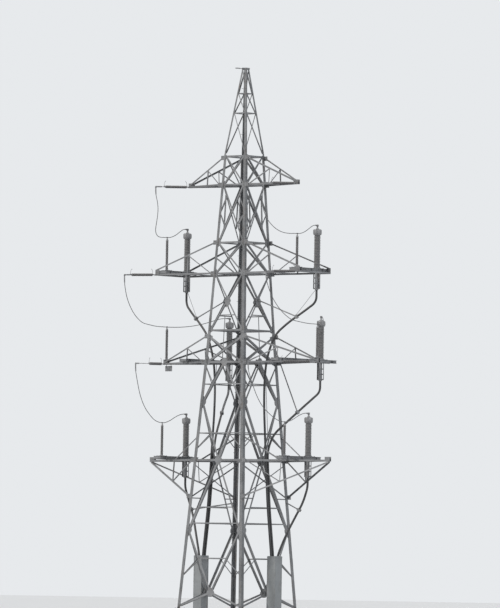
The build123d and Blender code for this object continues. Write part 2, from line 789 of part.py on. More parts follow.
def cable_supports(routes):
    """Clamps and struts that carry the cables clear of the tower."""
    middle_x = half(CROSSING_Z - STRUT_PLATE) - UPPER_LEG[1]
    right = Vector(1, 0, 0)
    back = Vector(0, 1, 0)
    seat_2 = Vector(middle_x, 0, CROSSING_Z)
    seat_3 = seat_on_leg(STRUT_3_Z, STRUT_3_INSET, 1)
    seat_4 = seat_on_leg(STRUT_4_Z, STRUT_4_INSET, 0)
    return [
        clamp_strut(routes["cable_2"], 2, seat_2, right, STRUT_STANDOFF),
        clamp_strut(routes["cable_3"], 2, seat_3, back, STRUT_3_STANDOFF),
        clamp_strut(routes["cable_4"], 2, seat_4, right, STRUT_STANDOFF),
    ]


def cleat(z):
    """Block that holds the cables side by side, on a bracket from a level bar of the body."""
    reach = CABLE_DIAMETER / 2 + CLEAT_MARGIN
    x = half(z) + CABLE_STANDOFF
    y = CABLE_SPREAD + reach
    block = box(x - reach, x + reach, -y, y, z - CLEAT_HALF, z + CLEAT_HALF)
    along = Vector(half(z) - half(z + CLEAT_HALF), 0, -CLEAT_HALF).normalized()
    for middle in (Vector(x, -CABLE_SPREAD, z), Vector(x, CABLE_SPREAD, z)):
        hole_plane = Plane(origin=middle - along * 2 * reach, z_dir=along)
        block = block - Solid.make_cylinder(CABLE_DIAMETER / 2 + SEAT_GAP, 4 * reach, hole_plane)
    wide, deep = CLEAT_BRACKET
    bracket = box(half(z) - LOWER_LEG[1] + 2, x - reach + 5, -wide, wide, z - deep, z + deep)
    return join([block, bracket])


def cable_guard():
    """Steel casing round the cables where they come down to the ground, open at the top."""
    reach = GUARD_WIDTH / 2
    inner = reach - GUARD_WALL
    shell = box(GUARD_X - reach, GUARD_X + reach, -reach, reach, 0, GUARD_HEIGHT) - box(
        GUARD_X - inner, GUARD_X + inner, -inner, inner, 0, GUARD_HEIGHT
    )
    wide, deep = GUARD_BRACKET
    seat_x = half(BASE_MID_Z) - LOWER_LEG[1] + 2
    bracket = box(seat_x, GUARD_X - reach + 5, -wide, wide, BASE_MID_Z - deep, BASE_MID_Z + deep)
    return join([shell, bracket])


def earth_wire_clamp():
    """Dead-end clamp of the earth wire on the lug of the cap."""
    middle_y = -HALF_APEX - PEAK_CAP_OVERHANG - EARTH_CHEEK_REACH
    middle_z = APEX_Z + PEAK_CAP_RIM / 2
    gap = PEAK_LUG_HALF + SEAT_GAP
    outer = gap + EARTH_CHEEK
    low_y = middle_y - EARTH_CHEEK_REACH
    low_z = middle_z - 25
    high_z = middle_z + 25
    cheeks = [box(x, x + EARTH_CHEEK, low_y, middle_y + 30, low_z, high_z) for x in (-outer, gap)]
    bridge = box(-outer, outer, low_y, middle_y - 32, low_z, high_z)
    wide = EARTH_CLAMP_RADIUS
    length = EARTH_CLAMP_LENGTH
    outline = [(0, 0), (14, 0), (14, 160), (wide, 175), (wide, length - 40), (14, length), (0, length)]
    start = Plane(origin=(0, middle_y - 35, middle_z), z_dir=(0, -1, -0.03))
    body = turned(outline).moved(start.location)
    return join([body, bridge] + cheeks)


def jumper_routes():
    """Routes of the three jumpers on the right: line clamp, over the arrester, to the sealing end."""
    half_jumper = JUMPER_DIAMETER / 2 + SEAT_GAP
    rest_2 = platform_top(ARM_2_Z) + ARRESTER_RISE + half_jumper
    rest_3 = ARM_3_Z + TIP_CHEEK_HEIGHT + ARRESTER_RISE + half_jumper
    rest_4 = platform_top(ARM_4_Z) + ARRESTER_RISE + half_jumper
    x2, x3, x4 = PLATFORM_2[0], PLATFORM_3[0], PLATFORM_4[0]
    end_2 = platform_top(ARM_2_Z) + SEAT_GAP + SEALING_HEIGHT - TERMINAL_DROP
    end_3 = platform_top(ARM_3_Z) + SEAT_GAP + SEALING_HEIGHT - TERMINAL_DROP
    end_4 = platform_top(ARM_4_Z) + SEAT_GAP + SEALING_HEIGHT - TERMINAL_DROP
    start_1 = string_foot(ARM_1_Z)
    start_2 = string_foot(ARM_2_Z)
    start_3 = string_foot(ARM_3_Z)
    lug_3 = Vector(*FACING_3, 0).normalized() * TERMINAL_LUG
    return {
        "jumper_1": [
            (STRING_1_END[0], STRING_1_END[1], start_1),
            (STRING_1_END[0], STRING_1_END[1], start_1 - 290),
            (3470, -2585, start_1 - 660),
            (3450, -2545, start_1 - 1050),
            (3550, -2480, start_1 - 1450),
            (3730, -2370, start_1 - 1830),
            (3945, -2175, start_1 - 2140),
            (4120, -1830, rest_2 + 20),
            (4255, -1400, rest_2 - 25),
            (x2, ARRESTER_2_Y - 200, rest_2),
            (x2, ARRESTER_2_Y + 200, rest_2),
            (x2, -250, rest_2 + 130),
            (x2, 120, rest_2 + 350),
            (x2, 375, end_2),
            (x2, SEALING_2_Y - TERMINAL_LUG, end_2),
        ],
        "jumper_2": [
            (STRING_2_END[0], STRING_2_END[1], start_2),
            (STRING_2_END[0], STRING_2_END[1], start_2 - 280),
            (4720, -3490, start_2 - 650),
            (4765, -3320, start_2 - 1030),
            (4805, -3070, start_2 - 1400),
            (4855, -2750, start_2 - 1740),
            (4900, -2360, start_2 - 2030),
            (4945, -1920, start_2 - 2250),
            (4990, -1445, rest_3 + 75),
            (5010, -970, rest_3 + 20),
            (5025, -605, rest_3 + 2),
            (ARRESTER_3_X + 20, -215, rest_3),
            (ARRESTER_3_X - 20, 215, rest_3),
            (4855, 645, rest_3 + 12),
            (4630, 1025, rest_3 + 45),
            (4345, 1335, rest_3 + 105),
            (4050, 1615, rest_3 + 195),
            (3750, 1885, rest_3 + 310),
            (3525, 2115, rest_3 + 430),
            (x3 + lug_3.X * 2.9, SEALING_3_Y + lug_3.Y * 2.9, end_3),
            (x3 + lug_3.X, SEALING_3_Y + lug_3.Y, end_3),
        ],
        "jumper_3": [
            (STRING_3_END[0], STRING_3_END[1], start_3),
            (STRING_3_END[0], STRING_3_END[1], start_3 - 280),
            (3750, -3600, start_3 - 650),
            (3785, -3450, start_3 - 1040),
            (3825, -3265, start_3 - 1440),
            (3860, -3030, start_3 - 1830),
            (3905, -2715, start_3 - 2180),
            (3965, -2330, start_3 - 2460),
            (4020, -1930, rest_4 + 110),
            (x4, ARRESTER_4_Y - 200, rest_4),
            (x4, ARRESTER_4_Y + 200, rest_4),
            (x4, -690, rest_4 + 130),
            (x4, -335, rest_4 + 310),
            (x4, 10, rest_4 + 440),
            (x4, 260, end_4),
            (x4, SEALING_4_Y - TERMINAL_LUG, end_4),
        ],
    }


def string_foot(level_z):
    """Height of the terminal under a line clamp."""
    return level_z - HITCH_DROP + SEAT_GAP + EYE_HEIGHT / 2 - STRING_DROP - JUMPER_DROP


def body_nodes():
    """The tower itself: feet, legs, sides and peak."""
    nodes = {}
    for name, corner in CORNERS.items():
        nodes["leg_" + name] = leg(corner)
    nodes["footings"] = Compound([footing(corner) for corner in CORNERS.values()])
    for side in SIDES:
        nodes["lower_face_" + side] = lower_face(side)
        nodes["upper_face_" + side] = upper_face(side)
    nodes["peak_lattice"] = Compound([peak_face(side) for side in SIDES])
    nodes["peak_cap"] = peak_cap()
    nodes["earth_wire_clamp"] = earth_wire_clamp()
    return nodes


def right_nodes():
    """Everything that is built on the right and mirrored to the left."""
    arms = {
        "arm_1": arm(ARM_1_REACH, ARM_1_Z, ARM_1_TOP_Z - ARM_OFFSET, UPPER_LEG, TIP_HALF),
        "arm_2": arm(ARM_2_REACH, ARM_2_Z, ARM_2_TOP_Z, UPPER_LEG, ARM_2_HALF_END),
        "arm_3": arm(ARM_3_REACH, ARM_3_Z, WAIST_Z - ARM_OFFSET, LOWER_LEG, TIP_HALF),
        "arm_4": arm(ARM_4_REACH, ARM_4_Z, ARM_4_FOOT_Z, LOWER_LEG, TIP_HALF),
    }
    hitches = {
        1: (ARM_1_REACH - HITCH_INSET, -TIP_HALF - TIP_PLATE, ARM_1_Z, STRING_1_END, LINKS[0]),
        2: (ARM_2_REACH - HITCH_HALF - 15, -ARM_2_HALF_END - CHORD_LAP, ARM_2_Z, STRING_2_END, LINKS[1]),
        3: (ARM_3_REACH - HITCH_INSET, -TIP_HALF - TIP_PLATE, ARM_3_Z, STRING_3_END, LINKS[2]),
    }
    nodes = {}
    for number, (x, edge_y, z, end, link) in hitches.items():
        name = "arm_" + str(number)
        arms[name] = join([arms[name], hitch_lug(x, edge_y, z)])
        nodes["string_" + str(number)] = tension_string(hitch_point(x, edge_y, z), end, link)
    nodes.update(arms)
    nodes["platform_2"] = platform(PLATFORM_2, ARM_2_Z)
    nodes["platform_3"] = platform(PLATFORM_3, ARM_3_Z)
    nodes["platform_4"] = platform(PLATFORM_4, ARM_4_Z)
    nodes["sealing_end_2"] = sealing_end(PLATFORM_2[0], SEALING_2_Y, ARM_2_Z, (0, -1))
    nodes["sealing_end_3"] = sealing_end(PLATFORM_3[0], SEALING_3_Y, ARM_3_Z, FACING_3)
    nodes["sealing_end_4"] = sealing_end(PLATFORM_4[0], SEALING_4_Y, ARM_4_Z, (0, -1))
    nodes["arrester_2"] = arrester_on(PLATFORM_2[0], ARRESTER_2_Y, platform_top(ARM_2_Z), PLATE_REACH)
    nodes["arrester_3"] = arrester_on(ARRESTER_3_X, 0, ARM_3_Z + TIP_CHEEK_HEIGHT, ARRESTER_3_REACH)
    nodes["arrester_4"] = arrester_on(PLATFORM_4[0], ARRESTER_4_Y, platform_top(ARM_4_Z), PLATE_REACH)
    routes = cable_routes()
    cables = [route(points, CABLE_DIAMETER, name) for name, points in routes.items()]
    nodes["power_cables"] = Compound(cables)
    nodes["cable_supports"] = Compound(cable_supports(routes) + [cleat(ARM_4_Z)])
    nodes["cable_guard"] = cable_guard()
    for name, points in jumper_routes().items():
        nodes[name] = route(points, JUMPER_DIAMETER, name)
    return nodes


def main():
    """Write one file per node."""
    os.makedirs("parts", exist_ok=True)
    nodes = body_nodes()
    for name, shape in right_nodes().items():
        nodes[name + "_right"] = shape
        nodes[name + "_left"] = mirrored(shape)
    for name, shape in nodes.items():
        export_step(shape, "parts/" + name + ".step")


main()
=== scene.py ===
# %% [markdown]
# # A terminal pylon for an overhead line
#
# The tower carries six line wires on tension strings, leads each one over a surge arrester into a
# cable sealing end, and takes thick cables down to the ground. The steel frame, the arms, the
# cables and the casings come in ready at their real size. This script dresses them: it gives every
# surface its finish, and adds the pieces that are too many or too fine for the frame, such as
# bolts, sheds, strands and the thinnest bracing.

# %% Load the frame
import math

import bmesh
import bpy
from mathutils import Matrix, Quaternion, Vector


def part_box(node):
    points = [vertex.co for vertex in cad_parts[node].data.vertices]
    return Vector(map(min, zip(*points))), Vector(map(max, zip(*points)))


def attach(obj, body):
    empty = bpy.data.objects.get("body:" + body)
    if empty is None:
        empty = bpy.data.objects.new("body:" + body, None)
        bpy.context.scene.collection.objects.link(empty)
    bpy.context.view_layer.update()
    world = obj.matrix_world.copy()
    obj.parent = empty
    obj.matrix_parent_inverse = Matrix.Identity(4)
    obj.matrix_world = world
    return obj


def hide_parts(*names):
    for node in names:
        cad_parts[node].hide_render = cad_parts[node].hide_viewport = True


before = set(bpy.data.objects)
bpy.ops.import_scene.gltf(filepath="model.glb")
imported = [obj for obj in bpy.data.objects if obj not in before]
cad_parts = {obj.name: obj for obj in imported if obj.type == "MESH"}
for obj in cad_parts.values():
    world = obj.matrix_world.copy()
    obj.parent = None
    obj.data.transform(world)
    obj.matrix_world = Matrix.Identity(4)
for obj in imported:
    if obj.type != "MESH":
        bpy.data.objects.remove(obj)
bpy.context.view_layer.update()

# %% [markdown]
# ## Where things are
#
# A lattice tower is set out from a few levels and from the half-width of its body at each of them.
# Everything else follows: a bar ends where two levels and two legs say it does. So the script
# keeps those few numbers, in metres, and works out the rest.

# %% Levels and slopes of the body
APEX_Z = 27.4
RING_A_Z = 26.196
RING_B_Z = 25.207
ARM_1_TOP_Z = 23.1
ARM_1_Z = 21.6
ARM_2_TOP_Z = 18.7
ARM_2_Z = 17.15
WAIST_Z = 14.15
ARM_3_Z = 12.7
UPPER_KNEE_Z = 10.7
ARM_4_Z = 7.8
ARM_4_FOOT_Z = 6.0
LOWER_KNEE_Z = 4.3
BASE_MID_Z = 1.2
HALF_WIDTHS = ((0.0, 2.14), (WAIST_Z, 1.19), (ARM_1_TOP_Z, 0.71), (APEX_Z, 0.13))

SIDES = {
    "right": (Vector((1, 0, 0)), Vector((0, 1, 0))),
    "back": (Vector((0, 1, 0)), Vector((-1, 0, 0))),
    "left": (Vector((-1, 0, 0)), Vector((0, -1, 0))),
    "front": (Vector((0, -1, 0)), Vector((1, 0, 0))),
}
UP = Vector((0, 0, 1))
# signs of x and y at the four corners of a square
CORNERS = ((-1, -1), (-1, 1), (1, -1), (1, 1))
SEAT_GAP = 0.0003
CHORD_HALF = 0.045
CHANNEL_DEPTH = 0.16
PLATFORM_RISE = CHORD_HALF + SEAT_GAP + CHANNEL_DEPTH


def half(z):
    """Half-width of the body over the legs at height z."""
    for (z0, w0), (z1, w1) in zip(HALF_WIDTHS, HALF_WIDTHS[1:]):
        if z <= z1:
            return w0 + (w1 - w0) * (z - z0) / (z1 - z0)
    return HALF_WIDTHS[-1][1]


def on_side(side, u, z, inset=0.0):
    """Point on a side of the body: u across, z up, inset behind the outside of the legs."""
    normal, across = SIDES[side]
    return normal * (half(z) - inset) + across * u + UP * z


def side_normal(side, z):
    """Outward direction of a side, which leans in with the legs."""
    lean = (half(z - 0.01) - half(z + 0.01)) / 0.02
    return (SIDES[side][0] + UP * lean).normalized()


print("base half-width", half(0), "waist", half(WAIST_Z))

# %% [markdown]
# ## Shared shader groups
#
# Old zinc isn't one grey. It dulls in patches, dust settles on what faces up, rain draws dirt down
# from every joint, and up close the surface has a grain. Several finishes here need the same four
# effects, so each is a node group with named sockets. A material places a group with its own values.

# %% Node helpers
def feed(tree, socket, value):
    """Gives a socket what it needs: another node's output, a plain colour or a number."""
    if hasattr(value, "is_linked"):
        tree.links.new(value, socket)
    elif isinstance(value, tuple):
        socket.default_value = (*value, 1)
    else:
        socket.default_value = value


def noise(tree, vector, scale, detail, roughness=0.55):
    """Value of a noise texture fed by a vector socket."""
    node = tree.nodes.new("ShaderNodeTexNoise")
    for label, value in (("Vector", vector), ("Scale", scale), ("Detail", detail), ("Roughness", roughness)):
        feed(tree, node.inputs[label], value)
    return node.outputs["Fac"]


def remap(tree, value, low, high, out_low=0.0, out_high=1.0):
    """Clamped straight-line change of a value."""
    node = tree.nodes.new("ShaderNodeMapRange")
    labels = ("Value", "From Min", "From Max", "To Min", "To Max")
    for label, number in zip(labels, (value, low, high, out_low, out_high)):
        feed(tree, node.inputs[label], number)
    return node.outputs["Result"]


def math_node(tree, kind, *values):
    """Math node on its values, each a socket or a number."""
    node = tree.nodes.new("ShaderNodeMath")
    node.operation = kind
    for socket, value in zip(node.inputs, values):
        feed(tree, socket, value)
    return node.outputs["Value"]


def mix_colour(tree, share, first, second):
    """Mix of two colours, each a socket or a plain colour."""
    node = tree.nodes.new("ShaderNodeMix")
    node.data_type = "RGBA"
    for label, value in (("Factor", share), ("A", first), ("B", second)):
        feed(tree, node.inputs[label], value)
    return node.outputs["Result"]


def new_group(name, setting, value, result):
    """Shader node group with a vector, one setting and one result. Returns it and those sockets."""
    group = bpy.data.node_groups.new(name, "ShaderNodeTree")
    group.interface.new_socket(name="Vector", in_out="INPUT", socket_type="NodeSocketVector")
    knob = group.interface.new_socket(name=setting, in_out="INPUT", socket_type="NodeSocketFloat")
    knob.default_value = value
    group.interface.new_socket(name=result, in_out="OUTPUT", socket_type="NodeSocketFloat")
    start = group.nodes.new("NodeGroupInput")
    end = group.nodes.new("NodeGroupOutput")
    return group, start.outputs["Vector"], start.outputs[setting], end.inputs[result]


print("node helpers ready")


# %% Patches, streaks, dust and grain
def patch_group():
    """Cloudy patches at one size, with finer mottling inside them."""
    group, vector, scale, mask = new_group("weather_patches", "Scale", 1.0, "Mask")
    large = noise(group, vector, scale, 3)
    fine = noise(group, vector, math_node(group, "MULTIPLY", scale, 9.0), 4)
    total = math_node(group, "MULTIPLY_ADD", fine, 0.45, large)
    group.links.new(remap(group, total, 0.55, 0.92), mask)
    return group


def streak_group():
    """Dirt drawn down by rain: noise stretched along the vertical."""
    group, vector, width, mask = new_group("rain_streaks", "Width", 20.0, "Mask")
    squeeze = group.nodes.new("ShaderNodeMapping")
    squeeze.inputs["Scale"].default_value = (1.0, 1.0, 0.06)
    group.links.new(vector, squeeze.inputs["Vector"])
    lines = remap(group, noise(group, squeeze.outputs["Vector"], width, 3), 0.52, 0.7)
    breaks = remap(group, noise(group, vector, 1.7, 2), 0.4, 0.65)
    group.links.new(math_node(group, "MULTIPLY", lines, breaks), mask)
    return group


def dust_group():
    """Dust that settles on what faces up, in uneven patches."""
    group, vector, amount, mask = new_group("settled_dust", "Amount", 1.0, "Mask")
    geometry = group.nodes.new("ShaderNodeNewGeometry")
    split = group.nodes.new("ShaderNodeSeparateXYZ")
    group.links.new(geometry.outputs["Normal"], split.inputs["Vector"])
    upward = remap(group, split.outputs["Z"], 0.15, 0.95)
    uneven = remap(group, noise(group, vector, 7.0, 4), 0.3, 0.7, 0.45, 1.0)
    settled = math_node(group, "MULTIPLY", upward, uneven)
    group.links.new(math_node(group, "MULTIPLY", settled, amount), mask)
    return group


def grain_group():
    """Fine surface grain as a height between 0 and 1."""
    group, vector, scale, height = new_group("fine_grain", "Scale", 200.0, "Height")
    group.links.new(noise(group, vector, scale, 5, 0.65), height)
    return group


PATCHES = patch_group()
STREAKS = streak_group()
DUST = dust_group()
GRAIN = grain_group()
print("groups", [g.name for g in (PATCHES, STREAKS, DUST, GRAIN)])

# %% [markdown]
# ## Galvanised steel
#
# Every angle bar of the tower was dipped in zinc. New zinc is bright, but after some years it is a
# dull grey with cloudy patches, faint crystals, and brown traces below bolted joints. A texture
# painted by hand would have to be laid over thousands of small faces, so the finish is made from
# noise in object space instead: it runs on across bars that touch, as weather does.

# %% Material helpers
def new_material(name, tone):
    """Material with a Principled shader. Returns the material, its tree and the shader."""
    material = bpy.data.materials.new(name)
    material.use_nodes = True
    material.diffuse_color = (*tone, 1)
    tree = material.node_tree
    return material, tree, tree.nodes["Principled BSDF"]


def object_coordinates(tree):
    """Object coordinates, which are metres in the tower's own frame."""
    return tree.nodes.new("ShaderNodeTexCoord").outputs["Object"]


def use_group(tree, group, vector, **values):
    """Places a shared group with its own values. Returns its output."""
    node = tree.nodes.new("ShaderNodeGroup")
    node.node_tree = group
    tree.links.new(vector, node.inputs["Vector"])
    for label, value in values.items():
        node.inputs[label].default_value = value
    return node.outputs[0]


def cells(tree, vector, scale):
    """Voronoi texture: crystals by its colour, pores by its distance."""
    node = tree.nodes.new("ShaderNodeTexVoronoi")
    node.inputs["Scale"].default_value = scale
    tree.links.new(vector, node.inputs["Vector"])
    return node


def lay_over(tree, colour, mask, amount, tone):
    """Lays a tone over a colour where a mask shows, by an amount."""
    return mix_colour(tree, math_node(tree, "MULTIPLY", mask, amount), colour, tone)


def plug_in(tree, shader, colour, roughness, height, distance, strength):
    """Colour, roughness and bump of a finish. The bump's height is a share of a distance in metres."""
    bump = tree.nodes.new("ShaderNodeBump")
    bump.inputs["Distance"].default_value = distance
    bump.inputs["Strength"].default_value = strength
    tree.links.new(height, bump.inputs["Height"])
    tree.links.new(bump.outputs["Normal"], shader.inputs["Normal"])
    tree.links.new(colour, shader.inputs["Base Color"])
    tree.links.new(roughness, shader.inputs["Roughness"])


print("material helpers ready")

# %% Steel
CRYSTAL_TONE = (0.46, 0.47, 0.48)
RUST_TONE = (0.15, 0.10, 0.062)
STEEL_DUST = (0.24, 0.225, 0.20)


def weathered_steel(name, bright, dull, stain=0.5, crystals=42.0):
    """Old zinc: cloudy patches, faint crystals and brown streaks below the joints."""
    material, tree, shader = new_material(name, bright)
    place = object_coordinates(tree)
    patches = use_group(tree, PATCHES, place, Scale=0.9)
    split = tree.nodes.new("ShaderNodeSeparateColor")
    tree.links.new(cells(tree, place, crystals).outputs["Color"], split.inputs["Color"])
    facets = remap(tree, split.outputs["Red"], 0.0, 1.0, 0.0, 0.16)
    rust = math_node(tree, "MULTIPLY", use_group(tree, STREAKS, place, Width=26.0), stain)
    colour = mix_colour(tree, patches, bright, dull)
    colour = mix_colour(tree, facets, colour, CRYSTAL_TONE)
    colour = mix_colour(tree, rust, colour, RUST_TONE)
    colour = lay_over(tree, colour, use_group(tree, DUST, place, Amount=0.55), 0.5, STEEL_DUST)
    tree.links.new(remap(tree, rust, 0, 0.6, 0.3, 0.1), shader.inputs["Metallic"])
    grain = use_group(tree, GRAIN, place, Scale=260.0)
    plug_in(tree, shader, colour, remap(tree, patches, 0, 1, 0.46, 0.72), grain, 0.0006, 0.6)
    return material


STEEL = weathered_steel("galvanised_steel", (0.215, 0.22, 0.228), (0.12, 0.124, 0.13))
LEG_STEEL = weathered_steel("leg_steel", (0.19, 0.195, 0.202), (0.105, 0.109, 0.114), 0.65, 30.0)
BOLT_STEEL = weathered_steel("bolt_steel", (0.25, 0.25, 0.25), (0.14, 0.135, 0.13), 0.8, 160.0)
print("steels", STEEL.name, LEG_STEEL.name, BOLT_STEEL.name)

# %% [markdown]
# ## Rubber, aluminium, cable and concrete
#
# The insulators are silicone rubber over a glass-fibre core. Silicone holds dust, most of it on top
# of the sheds, and stays cleaner below them. The caps, terminals and line clamps are cast
# aluminium, and the wires are strands of the same metal. The thick cables have a black sheath that
# goes grey in the sun. Each of these is a small material of its own that places the same shared
# groups with other values.

# %% Rubber, aluminium and cable
def two_tones(tree, tone, darker, patches):
    """A tone that darkens in patches."""
    return mix_colour(tree, patches, tone, tuple(c * darker for c in tone))


def silicone(name, tone, dusty):
    """Grey silicone rubber with dust on the upper sides of its sheds."""
    material, tree, shader = new_material(name, tone)
    place = object_coordinates(tree)
    dust = use_group(tree, DUST, place, Amount=0.8)
    colour = two_tones(tree, tone, 0.78, use_group(tree, PATCHES, place, Scale=3.0))
    colour = lay_over(tree, colour, use_group(tree, STREAKS, place, Width=34.0), 0.35, (0.11, 0.10, 0.09))
    colour = lay_over(tree, colour, dust, 0.7, dusty)
    grain = use_group(tree, GRAIN, place, Scale=420.0)
    plug_in(tree, shader, colour, remap(tree, dust, 0, 0.8, 0.42, 0.8), grain, 0.0004, 0.5)
    return material


def cast_aluminium(name, tone, metallic):
    """Sand-cast aluminium, grey and a little pitted."""
    material, tree, shader = new_material(name, tone)
    place = object_coordinates(tree)
    patches = use_group(tree, PATCHES, place, Scale=4.0)
    colour = two_tones(tree, tone, 0.7, patches)
    colour = lay_over(tree, colour, use_group(tree, STREAKS, place, Width=40.0), 0.4, (0.17, 0.165, 0.16))
    shader.inputs["Metallic"].default_value = metallic
    grain = use_group(tree, GRAIN, place, Scale=180.0)
    plug_in(tree, shader, colour, remap(tree, patches, 0, 1, 0.4, 0.62), grain, 0.0012, 0.7)
    return material


def cable_sheath(name):
    """Black sheath, greyed by the sun, with scuffs along it."""
    material, tree, shader = new_material(name, (0.03, 0.03, 0.032))
    place = object_coordinates(tree)
    patches = use_group(tree, PATCHES, place, Scale=1.6)
    scuffs = remap(tree, noise(tree, place, 46.0, 5, 0.7), 0.62, 0.72, 0.0, 0.5)
    colour = mix_colour(tree, patches, (0.022, 0.022, 0.024), (0.052, 0.052, 0.053))
    colour = lay_over(tree, colour, use_group(tree, DUST, place, Amount=0.9), 0.55, (0.16, 0.15, 0.14))
    colour = mix_colour(tree, scuffs, colour, (0.11, 0.11, 0.11))
    grain = use_group(tree, GRAIN, place, Scale=300.0)
    plug_in(tree, shader, colour, remap(tree, patches, 0, 1, 0.36, 0.6), grain, 0.0008, 0.5)
    return material


RUBBER = silicone("insulator_rubber", (0.15, 0.15, 0.155), (0.25, 0.24, 0.22))
DARK_RUBBER = silicone("arrester_rubber", (0.13, 0.127, 0.13), (0.23, 0.215, 0.20))
ALUMINIUM = cast_aluminium("cast_aluminium", (0.27, 0.27, 0.275), 0.4)
CONDUCTOR = cast_aluminium("bare_conductor", (0.19, 0.19, 0.193), 0.35)
SHEATH = cable_sheath("cable_sheath")
print("also", RUBBER.name, DARK_RUBBER.name, ALUMINIUM.name, CONDUCTOR.name, SHEATH.name)


# %% Concrete and painted steel
def uneven_height(tree, place, wobble, amount):
    """Height over the ground with noise added, so that a stain at the foot has a ragged edge."""
    split = tree.nodes.new("ShaderNodeSeparateXYZ")
    tree.links.new(place, split.inputs["Vector"])
    return math_node(tree, "MULTIPLY_ADD", wobble, amount, split.outputs["Z"])


def cast_concrete(name):
    """Board-marked concrete: fine grain, pores, a damp dark foot and pale lime runs."""
    material, tree, shader = new_material(name, (0.42, 0.41, 0.38))
    place = object_coordinates(tree)
    level = uneven_height(tree, place, noise(tree, place, 5.0, 3), 0.12)
    damp = remap(tree, level, 0.09, 0.2, 0.75, 0.0)
    patches = use_group(tree, PATCHES, place, Scale=2.2)
    colour = mix_colour(tree, patches, (0.45, 0.44, 0.41), (0.31, 0.305, 0.29))
    colour = lay_over(tree, colour, use_group(tree, STREAKS, place, Width=9.0), 0.4, (0.58, 0.57, 0.54))
    colour = mix_colour(tree, damp, colour, (0.17, 0.175, 0.14))
    pits = remap(tree, cells(tree, place, 48.0).outputs["Distance"], 0.05, 0.22)
    relief = math_node(tree, "MULTIPLY_ADD", use_group(tree, GRAIN, place, Scale=90.0), 0.5, pits)
    plug_in(tree, shader, colour, remap(tree, damp, 0, 0.75, 0.9, 0.7), relief, 0.004, 0.8)
    return material


def painted_sheet(name, tone):
    """Grey paint on sheet steel, chalky in patches, with rust at the foot and in thin runs."""
    material, tree, shader = new_material(name, tone)
    place = object_coordinates(tree)
    patches = use_group(tree, PATCHES, place, Scale=1.4)
    level = uneven_height(tree, place, noise(tree, place, 8.0, 5, 0.7), 0.35)
    colour = two_tones(tree, tone, 1.3, patches)
    colour = lay_over(tree, colour, use_group(tree, STREAKS, place, Width=17.0), 0.4, (0.19, 0.15, 0.11))
    colour = mix_colour(tree, remap(tree, level, 0.2, 0.34, 0.8, 0.0), colour, (0.16, 0.11, 0.075))
    grain = use_group(tree, GRAIN, place, Scale=120.0)
    plug_in(tree, shader, colour, remap(tree, patches, 0, 1, 0.45, 0.7), grain, 0.0008, 0.6)
    return material


CONCRETE = cast_concrete("concrete")
GUARD_PAINT = painted_sheet("guard_paint", (0.20, 0.21, 0.215))
print("and", CONCRETE.name, GUARD_PAINT.name)

# %% Finish of the ready pieces, and the slot of each material
NODE_FINISH = (
    (LEG_STEEL, ("leg_",)),
    (STEEL, ("lower_face", "upper_face", "peak_", "arm_", "platform_", "cable_supports")),
    (ALUMINIUM, ("earth_wire_clamp",)),
    (RUBBER, ("sealing_end",)),
    (DARK_RUBBER, ("arrester", "string")),
    (CONDUCTOR, ("jumper",)),
    (SHEATH, ("power_cables",)),
    (CONCRETE, ("footings",)),
    (GUARD_PAINT, ("cable_guard",)),
)


def finish_nodes():
    """Gives every ready piece its material, by the start of its name."""
    for name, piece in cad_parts.items():
        for material, starts in NODE_FINISH:
            if name.startswith(starts):
                piece.data.materials.clear()
                piece.data.materials.append(material)


finish_nodes()
print(len(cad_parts), "ready pieces finished")

# %% [markdown]
# ## New objects
#
# All that the script adds goes through two small makers. One puts an object into the scene, and the
# other turns what bmesh has drawn into a mesh.

# %% Objects and meshes
def add_object(name, data):
    """Object made from a camera, lamp, curve or mesh, in the scene."""
    made = bpy.data.objects.new(name, data)
    bpy.context.scene.collection.objects.link(made)
    return made


def to_mesh(bm, name):
    """Mesh of what was drawn. The drawing is used up."""
    mesh = bpy.data.meshes.new(name)
    bm.to_mesh(mesh)
    bm.free()
    return mesh


print("object makers ready")

# %% [markdown]
# ## The camera
#
# The tower was seen from about 330 metres away through a long lens, almost square to one of its
# corners, and the picture was held a little crooked. From so far the lines hardly converge. The
# lens follows from the scale: twenty picture elements to a metre at the tower's axis.

# %% Camera at the photograph's view
PHOTO_WIDTH = 500
PHOTO_HEIGHT = 608
PIXELS_PER_METRE = 20.0
VIEW_DISTANCE = 330.0
VIEW_AZIMUTH = math.radians(41)
EYE_Z = 1.1
GROUND_ROW = 617
AXIS_COLUMN = 241.9
LEAN = math.radians(0.93)
SENSOR = 36.0


def make_camera():
    """Camera far off on the tower's front right corner, aimed at what is in the photograph's middle."""
    back = Vector((math.sin(VIEW_AZIMUTH), -math.cos(VIEW_AZIMUTH), 0))
    right = Vector((math.cos(VIEW_AZIMUTH), math.sin(VIEW_AZIMUTH), 0))
    middle_z = (GROUND_ROW - PHOTO_HEIGHT / 2) / PIXELS_PER_METRE
    target = right * ((PHOTO_WIDTH / 2 - AXIS_COLUMN) / PIXELS_PER_METRE) + UP * middle_z
    data = bpy.data.cameras.new("photo_camera")
    data.sensor_width = SENSOR
    data.lens = SENSOR * PIXELS_PER_METRE * VIEW_DISTANCE / PHOTO_HEIGHT
    data.clip_start = 1.0
    data.clip_end = 3000.0
    camera = add_object("photo_camera", data)
    camera.location = back * VIEW_DISTANCE + UP * EYE_Z
    aim = (target - camera.location).to_track_quat("-Z", "Y")
    camera.rotation_mode = "QUATERNION"
    camera.rotation_quaternion = aim @ Quaternion((0, 0, 1), LEAN)
    bpy.context.scene.camera = camera
    print("lens", round(data.lens, 1), "mm")


make_camera()

# %% [markdown]
# ## Floor and light
#
# A thin lattice reads best against something plain and pale. The floor and the sky have one pale
# colour where the camera sees them, and the light on the steel is kept apart from that colour: a
# broad sun from the upper left, a weaker one from behind, and an even glow from all round.

